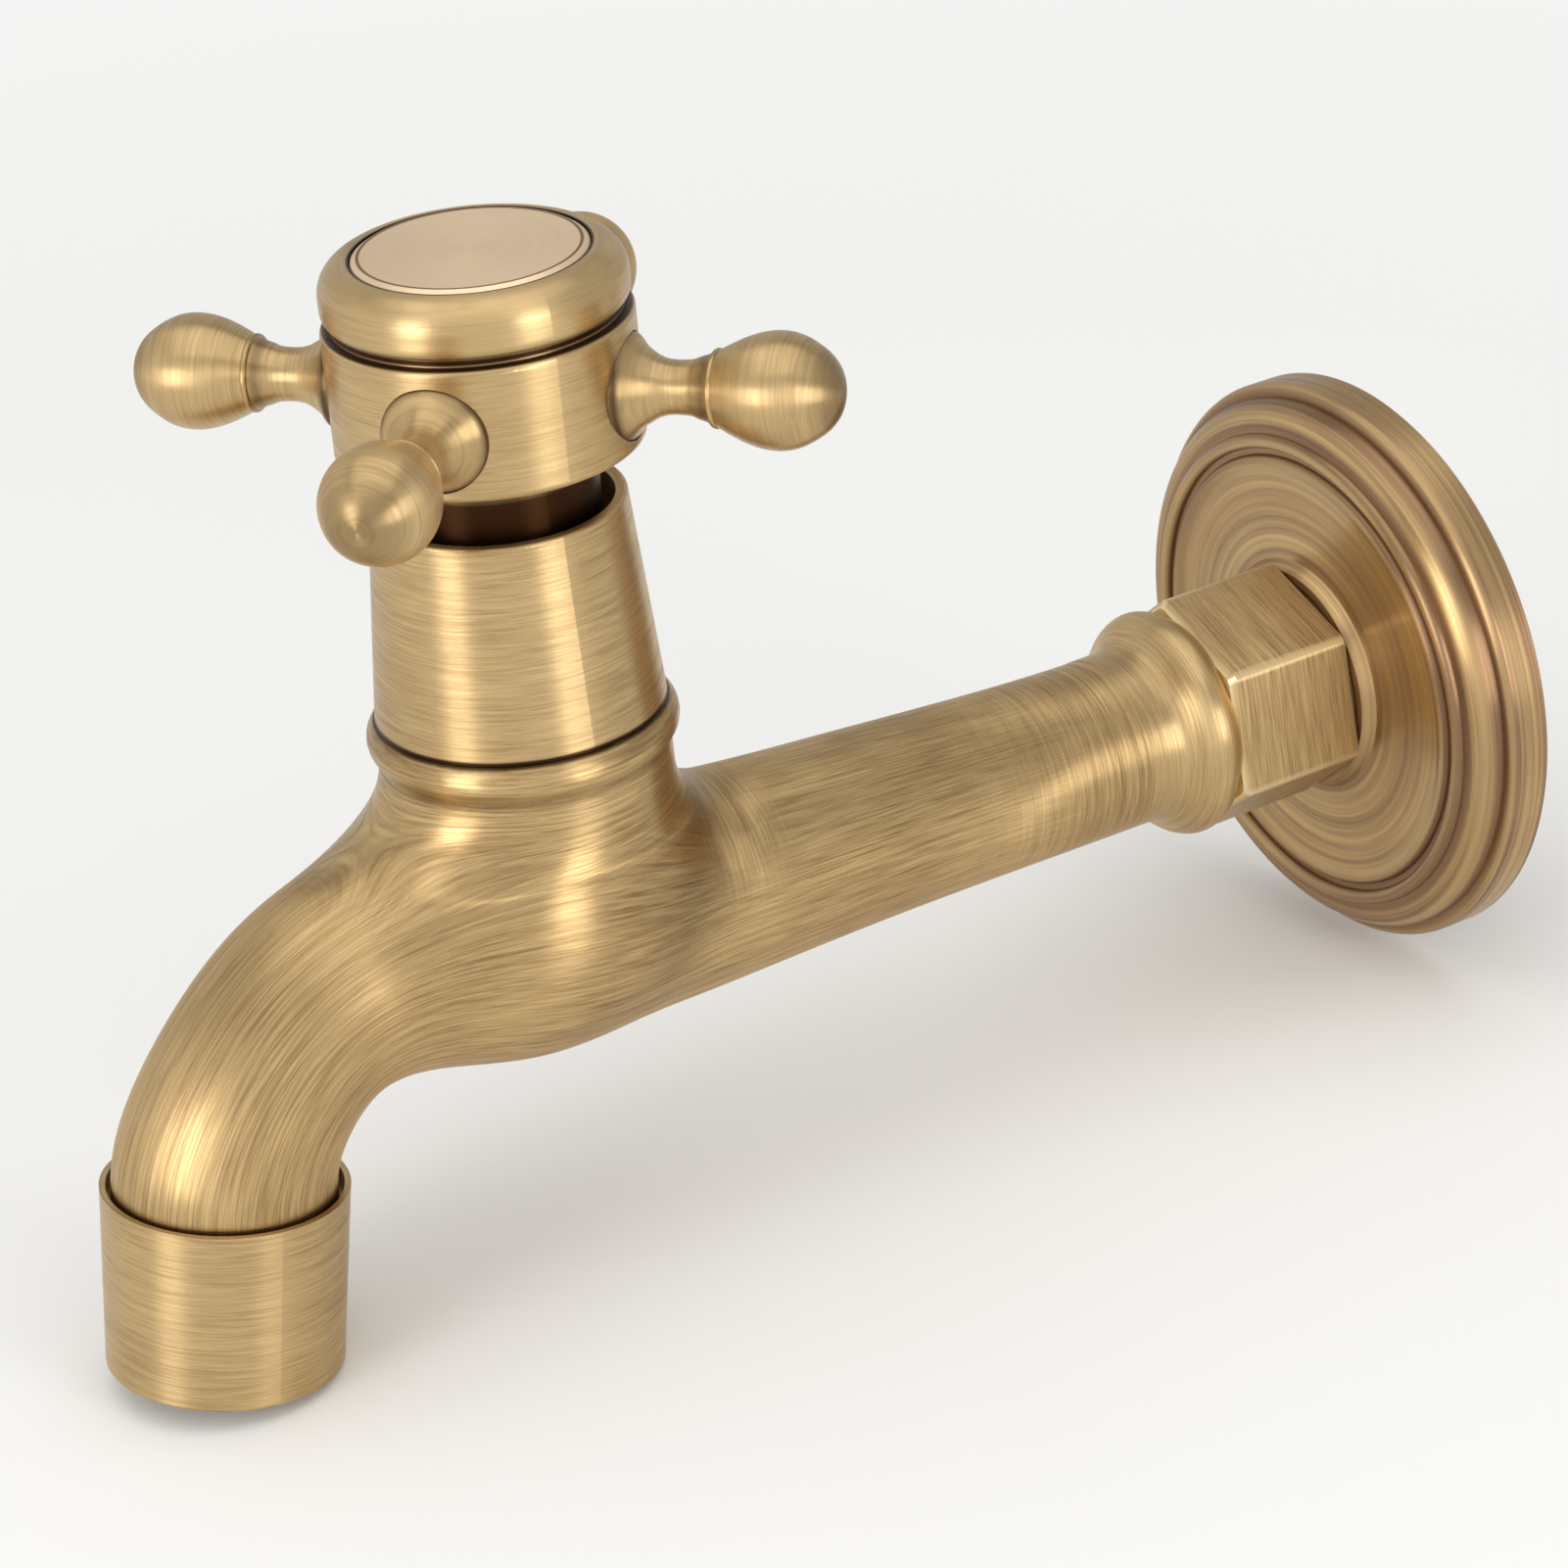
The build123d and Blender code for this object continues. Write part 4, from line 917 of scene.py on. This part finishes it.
class TAP_OT_wall_plate(bpy.types.Operator):
    """Round wall plate with its turned rings"""

    bl_idname = "tap.wall_plate"
    bl_label = "Wall plate"

    def execute(self, context):
        settings = finish()
        rim = PLATE_R
        face = HEX_START - 1.4
        outline = [
            (rim - 1.8, 0.0),
            (rim - 0.4, 0.0),
            (rim, 0.4),
            *crown((rim, face - 4.4), (rim - 0.95, face - 3.45), 0.25, 8),
            *crown((rim - 1.4, face - 3.45), (rim - 4.1, face - 0.85), 0.85, 16),
            *crown((rim - 4.5, face - 0.8), (rim - 6.1, face - 0.8), 0.8, 12),
            *crown((rim - 6.7, face - 0.8), (rim - 8.1, face - 0.35), 0.45, 8),
            *crown((rim - 8.1, face - 0.35), (rim - 15.2, face - 0.35), -0.25, 16)[1:],
            (rim - 17.6, face),
            (rim - 18.4, HEX_START - 0.1),
            (rim - 19.25, HEX_START - 0.1),
            (rim - 19.25, face - 2.6),
            (rim - 8.0, face - 2.6),
            (rim - 4.2, face - 3.1),
            (rim - 1.8, face - 4.9),
        ]
        points, faces = turned(outline, Vector(), Vector((0, -1, 0)), Vector((1, 0, 0)), 0.6, 256)
        # Broad rings from the lathe tool: bright where rubbed, rose-brown between
        joints = [("R", rim - 4.3, 0.9), ("R", rim - 6.4, 0.8), ("R", rim - 1.2, 0.7)]
        brass = turned_brass(
            "ring_turned_brass_plate",
            settings,
            (0, 0, 0),
            ALONG_WALL_AXIS,
            joints,
            width=0.7,
            length=60.0,
            bright=settings.rosette,
            dark=settings.rose,
            soot=linear("#80604A"),
            stain=0.6,
            strength=0.85,
            roughness=0.33,
            relief=0.03,
        )
        make_piece("wall_rosette", points, faces, brass, "body", ["wall_plate"])
        return {"FINISHED"}


class TAP_OT_cover(bpy.types.Operator):
    """Brushed finish of the cone cover and the headwork inside it"""

    bl_idname = "tap.cover"
    bl_label = "Cover"

    def execute(self, context):
        settings = finish()
        joints = [("Z", COVER_FOOT, 0.45)]
        dress("bonnet_cover", turned_brass("turned_brass_cover", settings, VALVE, shade_and_stain_bands=joints))
        # Inside the cover's mouth the brass is almost black-brown: old patina, and painted shade of the gap
        # under the handle
        colours = {"bright": linear("#94693C"), "dark": linear("#3A2614")}
        dark = turned_brass("dark_patina_and_shade_brass", settings, VALVE, strength=0.6, **colours)
        for node in ("headwork_body", "spindle", "disc_cage"):
            dress(node, dark)
        return {"FINISHED"}


class TAP_OT_handle(bpy.types.Operator):
    """Hub, arms, cap and inlay of the cross handle"""

    bl_idname = "tap.handle"
    bl_label = "Handle"

    def execute(self, context):
        sizes = shape()
        settings = finish()
        skirt = high("bonnet_cover").z
        groove = high("handle_hub").z
        # Painted shade in a broad band round the hub's skirt, over the gap under the handle, and a painted
        # shadow line at the groove under the cap
        joints = [("Z", skirt + 1.0, 4.4), ("Z", groove, 0.3)]
        hub = turned_brass("turned_brass_hub", settings, VALVE, shade_and_stain_bands=joints, strength=0.3, relief=0.008)
        dress("handle_hub", hub)
        edge = high("cap_inlay").x
        # A dark line at the inlay's edge, and painted shadow on the cap's foot above the groove
        joints = [("R", edge + 0.1, 0.2), ("Z", groove + 0.4, 0.35)]
        cap = turned_brass("satin_brass_cap", settings, VALVE, shade_and_stain_bands=joints, strength=0.2, relief=0.005)
        dress("handle_cap", cap)
        # Rubbed to satin, so its rings hardly show and its shine is even and pale
        inlay = turned_brass(
            "satin_brass_inlay",
            settings,
            VALVE,
            shade_and_stain_bands=[("R", edge, 0.2), ("R", edge - 0.8, 0.2)],
            bright=settings.inlay,
            dark=linear("#C9AC88"),
            soot=linear("#8A6A48"),
            strength=0.2,
            relief=0.002,
            roughness=0.45,
            stretch=0.2,
        )
        dress("cap_inlay", inlay)
        self.arms(sizes, settings)
        return {"FINISHED"}

    def arms(self, sizes, settings):
        foot = [(5.05, 14.0), (4.9, 14.3), (4.0, 15.1), (3.3, 16.0), (2.75, 17.0), (2.5, 18.4), (2.52, 19.4)]
        neck = [(2.52, 19.4), (2.62, 20.1), (2.85, 20.7), (3.1, 21.5), (3.35, 22.0)]
        ring = crown((3.42, 22.0), (3.62, 22.5), 0.14, 6)
        egg = [(3.55, 22.55), (4.05, 23.5), (4.7, 24.9), (5.2, 26.4), (5.42, 27.9), (5.2, 29.8)]
        egg += [(4.4, 31.5), (3.2, 33.0), (1.6, 33.9), (0.0, 34.1)]
        outline = [
            (0.0, 7.7),
            (2.45, 7.7),
            (2.45, 12.9),
            (5.05, 12.9),
            *smooth_through(foot, 20),
            *smooth_through(neck, 12)[1:],
            *ring,
            *smooth_through(egg, 44)[:-1],
            (0.0, 34.05),
        ]
        points, faces = turned(outline, Vector(), Vector((1, 0, 0)), Vector((0, 1, 0)), 0.5, 96)
        places = np.array(points)
        width, length = settings.line_width, settings.line_length
        out = np.hypot(places[:, 1], places[:, 2])
        profile = (places[:, 0] + 0.6 * out) / width
        around = np.column_stack((places[:, 1] / length, places[:, 2] / length, profile))
        tip = ease(30.5, 34.2, places[:, 0])
        neck_side = np.exp(-(((places[:, 0] - 21.4) / 0.7) ** 2))
        seat = np.exp(-(((places[:, 0] - 13.9) / 0.6) ** 2))
        patina = np.clip(0.45 * tip + 0.5 * neck_side + 0.9 * seat, 0, 1)
        material = turned_brass_arms(sizes, settings)
        layers = {"around": around, "patina": patina}
        arm = make_piece("handle_arms", points, faces, material, "handle", [], layers)
        spread_arms(arm, sizes, material)
        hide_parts(*[f"handle_arm_{number}" for number in range(1, 5)])


def arm_middle():
    """The point where the arms' axes meet, in millimetres."""
    return Vector((VALVE.x, VALVE.y, (low("handle_arm_1").z + high("handle_arm_1").z) / 2))


def turned_brass_arms(sizes, settings):
    """Lathe-turned brass arms: lines round each arm's own axis, brown at the tips and seats.

    The eye sees rings round each egg and a soft bright streak along it."""
    material, tree = new_material("turned_brass_arms")
    place = add(tree, "ShaderNodeTexCoord", out="Object")
    shifted = add(tree, "ShaderNodeVectorMath", (place, arm_middle() * MM), operation="SUBTRACT")
    parts = add(tree, "ShaderNodeSeparateXYZ", (shifted,), None)
    step = 2 * pi / sizes.arm_count
    angle = add(tree, "ShaderNodeMath", (parts["Y"], parts["X"]), operation="ARCTAN2")
    to_nearest_arm = (
        ("SUBTRACT", (sizes.arm_turn,)),
        ("DIVIDE", (step,)),
        ("ROUND", ()),
        ("MULTIPLY_ADD", (step, sizes.arm_turn)),
    )
    for operation, values in to_nearest_arm:
        angle = add(tree, "ShaderNodeMath", (angle, *values), operation=operation)
    sides = [add(tree, "ShaderNodeMath", (angle,), operation=name) for name in ("COSINE", "SINE")]
    run = run_about(tree, add(tree, "ShaderNodeCombineXYZ", sides), shifted)
    around = add(tree, "ShaderNodeAttribute", out="Vector", attribute_name="around")
    patina = add(tree, "ShaderNodeAttribute", out="Fac", attribute_name="patina")
    look = brass_look(settings, strength=0.3, relief=0.012)
    brass_shader(tree, brush(tree, around), run, look, patina)
    return material


def spread_arms(arm, sizes, material):
    """Set equal arms round the handle's axis with geometry nodes."""
    kinds = {
        "Count": "NodeSocketInt",
        "First angle": "NodeSocketFloat",
        "Centre": "NodeSocketVector",
    }
    tree, given = group("arms_round_a_hub", kinds)
    spots = add(tree, "GeometryNodePoints", {"Count": given["Count"], "Position": given["Centre"]})
    index = add(tree, "GeometryNodeInputIndex")
    step = add(tree, "ShaderNodeMath", (2 * pi, given["Count"]), operation="DIVIDE")
    angle = add(tree, "ShaderNodeMath", (index, step, given["First angle"]), operation="MULTIPLY_ADD")
    turn = add(tree, "ShaderNodeCombineXYZ", {"Z": angle})
    rotation = add(tree, "FunctionNodeEulerToRotation", (turn,))
    inputs = {"Points": spots, "Instance": given["Geometry"], "Rotation": rotation}
    close_group(tree, add(tree, "GeometryNodeInstanceOnPoints", inputs), material)
    values = {"Count": sizes.arm_count, "First angle": sizes.arm_turn, "Centre": arm_middle() * MM}
    apply_group(arm, tree, values)


class TAP_OT_aerator(bpy.types.Operator):
    """Sleeve, insert and screen at the outlet"""

    bl_idname = "tap.aerator"
    bl_label = "Aerator"

    def execute(self, context):
        settings = finish()
        top = (high("aerator_sleeve").z - low("aerator_sleeve").z) / 2
        joints = [("Z", top - 0.9, 0.5)]
        sleeve = turned_brass("turned_brass_sleeve", settings, SLEEVE, ALONG_OUTLET, joints)
        dress("aerator_sleeve", sleeve)
        # Acetal is milky and matt; pressed steel is grey with a soft shine
        dress("aerator_insert", plain_material("moulded_acetal_insert", linear("#D9D8D2"), 0.0, 0.45))
        dress("aerator_screen", plain_material("pressed_steel_screen", linear("#A8A9AB"), 1.0, 0.35))
        return {"FINISHED"}


class TAP_OT_inside(bpy.types.Operator):
    """Seals, discs, washers and screw inside the tap"""

    bl_idname = "tap.inside"
    bl_label = "Inside"

    def execute(self, context):
        # Rubber is matt black and lapped alumina smooth and cream; turned steel shines grey,
        # pressed fibre is dull red-brown and acetal milky white
        rubber = plain_material("moulded_nitrile_rubber", linear("#1C1B1A"), 0.0, 0.6)
        ceramic = plain_material("lapped_alumina", linear("#EDEAE2"), 0.0, 0.25)
        steel = plain_material("turned_stainless_steel", linear("#B4B5B7"), 1.0, 0.3)
        fibre = plain_material("pressed_fibre", linear("#8A3F2A"), 0.0, 0.7)
        acetal = plain_material("moulded_acetal_washer", linear("#E4E2DA"), 0.0, 0.4)
        spindle_rings = ("spindle_o_ring_lower", "spindle_o_ring_upper")
        stock = (
            (rubber, ("seat_seal", "bonnet_o_ring", *spindle_rings, "cap_o_ring")),
            (ceramic, ("fixed_disc", "moving_disc")),
            (steel, ("retaining_ring", "handle_screw", "screw_washer")),
            (fibre, ("aerator_washer",)),
            (acetal, ("thrust_washer",)),
        )
        for material, nodes in stock:
            for node in nodes:
                dress(node, material)
        return {"FINISHED"}


class TAP_OT_studio(bpy.types.Operator):
    """Pale floor, soft lamps, background and camera"""

    bl_idname = "tap.studio"
    bl_label = "Studio"

    def execute(self, context):
        self.floor()
        self.background()
        self.lamps()
        self.camera()
        context.scene.view_settings.view_transform = "Standard"
        return {"FINISHED"}

    def floor(self):
        mesh = bpy.data.meshes.new("floor")
        level, half = CAD_BOX[0].z, 3.0
        corners = [(-half, -half, level), (half, -half, level), (half, half, level), (-half, half, level)]
        mesh.from_pydata(corners, [], [(0, 1, 2, 3)])
        floor = bpy.data.objects.new("floor", mesh)
        bpy.context.scene.collection.objects.link(floor)
        material, tree = new_material("white_studio_sheet")
        place = add(tree, "ShaderNodeTexCoord", out="Object")
        away = add(tree, "ShaderNodeVectorMath", (place, VALVE * MM), operation="SUBTRACT")
        away = add(tree, "ShaderNodeVectorMath", (away,), "Value", operation="LENGTH")
        fade = add(tree, "ShaderNodeMapRange", (away, 0.25, 0.62))
        sheet = add(tree, "ShaderNodeBsdfDiffuse", {"Color": colour(linear("#F4F4F2"))})
        clear = add(tree, "ShaderNodeBsdfTransparent")
        both = add(tree, "ShaderNodeMixShader", (fade, sheet, clear))
        add(tree, "ShaderNodeOutputMaterial", (both,))
        mesh.materials.append(material)

    def background(self):
        """White to the camera; pale and shaded towards the back for the light on the metal."""
        light = bpy.context.scene.tap_studio
        world = bpy.data.worlds.new("studio")
        world.use_nodes = True
        tree = world.node_tree
        tree.nodes.clear()
        path = add(tree, "ShaderNodeLightPath", out=None)
        direct = (path["Is Camera Ray"], path["Is Transmission Ray"])
        seen = add(tree, "ShaderNodeMath", direct, operation="MAXIMUM")
        way = add(tree, "ShaderNodeTexCoord", out="Generated")
        turn = radians(25.0)
        front = (sin(turn), -cos(turn), 0.0)
        facing = add(tree, "ShaderNodeVectorMath", (way, front), "Value", operation="DOT_PRODUCT")
        levels = (facing, -0.8, 0.7, light.fill * (1 - light.shade), light.fill)
        shaded = add(tree, "ShaderNodeMapRange", levels)
        height = add(tree, "ShaderNodeSeparateXYZ", (way,), "Z")
        dim = band(tree, height, 0.9, 0.0, 0.35, 0.45, 1.0)
        strength = add(tree, "ShaderNodeMath", (shaded, dim), operation="MULTIPLY")
        white = add(tree, "ShaderNodeBackground", {"Color": (1, 1, 1, 1), "Strength": 1.0})
        room = add(tree, "ShaderNodeBackground", {"Color": (1, 1, 1, 1), "Strength": strength})
        add(tree, "ShaderNodeOutputWorld", (add(tree, "ShaderNodeMixShader", (seen, room, white)),))
        bpy.context.scene.world = world

    def lamps(self):
        """Two tall soft strips left and right of the camera and a weak one above."""
        light = bpy.context.scene.tap_studio
        target = Vector((0, -0.08, 0.02))
        lamps = [
            ("left_strip", 14.0, 10.0, 0.7, 0.24, 0.34, light.strip),
            ("right_strip", 101.0, 9.0, 0.7, 0.24, 0.34, light.strip),
            ("top_panel", 60.0, 86.0, 0.9, 1.2, 1.2, 4.5 * light.fill),
        ]
        for name, azimuth, elevation, distance, wide, tall, power in lamps:
            lamp_data = bpy.data.lights.new(name, "AREA")
            lamp_data.shape = "RECTANGLE"
            lamp_data.size, lamp_data.size_y = wide, tall
            lamp_data.energy = power
            lamp = bpy.data.objects.new(name, lamp_data)
            bpy.context.scene.collection.objects.link(lamp)
            turn, lift = radians(azimuth), radians(elevation)
            away = Vector((sin(turn) * cos(lift), -cos(turn) * cos(lift), sin(lift)))
            lamp.location = target + away * distance
            lamp.rotation_euler = away.to_track_quat("Z", "Y").to_euler()
            lamp.visible_camera = False

    def camera(self):
        turn, lift, roll = radians(59.863), radians(26.226), radians(-5.119)
        focal_pixels, image_side, distance = 5412.27, 1601, 0.5177585
        target = Vector((0, -0.071216, 0.00809))
        back = Vector((sin(turn) * cos(lift), -cos(turn) * cos(lift), sin(lift)))
        flat = Vector((cos(turn), sin(turn), 0))
        rise = back.cross(flat)
        right = flat * cos(roll) + rise * sin(roll)
        up = rise * cos(roll) - flat * sin(roll)
        lens = bpy.data.cameras.new("photo_camera")
        lens.sensor_width = 36.0
        lens.lens = focal_pixels * lens.sensor_width / image_side
        lens.clip_start, lens.clip_end = 0.01, 20.0
        camera = bpy.data.objects.new("photo_camera", lens)
        bpy.context.scene.collection.objects.link(camera)
        camera.matrix_world = Matrix.Translation(target + back * distance) @ Matrix(
            (right, up, back)
        ).transposed().to_4x4()
        bpy.context.scene.camera = camera


class TAP_PT_panel(bpy.types.Panel):
    """Buttons and sizes of the tap in the sidebar"""

    bl_idname = "TAP_PT_panel"
    bl_label = "Tap"
    bl_space_type = "VIEW_3D"
    bl_region_type = "UI"
    bl_category = "Tap"

    def draw(self, context):
        for operator in OPERATORS:
            self.layout.operator(operator.bl_idname)
        scene = context.scene
        for settings in (scene.tap_shape, scene.tap_finish, scene.tap_studio):
            for name in settings.__annotations__:
                self.layout.prop(settings, name)


OPERATORS = (
    TAP_OT_casting,
    TAP_OT_inlet,
    TAP_OT_wall_plate,
    TAP_OT_cover,
    TAP_OT_handle,
    TAP_OT_aerator,
    TAP_OT_inside,
    TAP_OT_studio,
)
CLASSES = (TapShape, TapFinish, TapStudio, *OPERATORS, TAP_PT_panel)


def register():
    for item in CLASSES:
        bpy.utils.register_class(item)
    bpy.types.Scene.tap_shape = PointerProperty(type=TapShape)
    bpy.types.Scene.tap_finish = PointerProperty(type=TapFinish)
    bpy.types.Scene.tap_studio = PointerProperty(type=TapStudio)


def unregister():
    del bpy.types.Scene.tap_shape
    del bpy.types.Scene.tap_finish
    del bpy.types.Scene.tap_studio
    for item in reversed(CLASSES):
        bpy.utils.unregister_class(item)


def main():
    """Make every piece in order."""
    register()
    for operator in OPERATORS:
        group_name, name = operator.bl_idname.split(".")
        getattr(getattr(bpy.ops, group_name), name)()


if __name__ == "__main__":
    main()
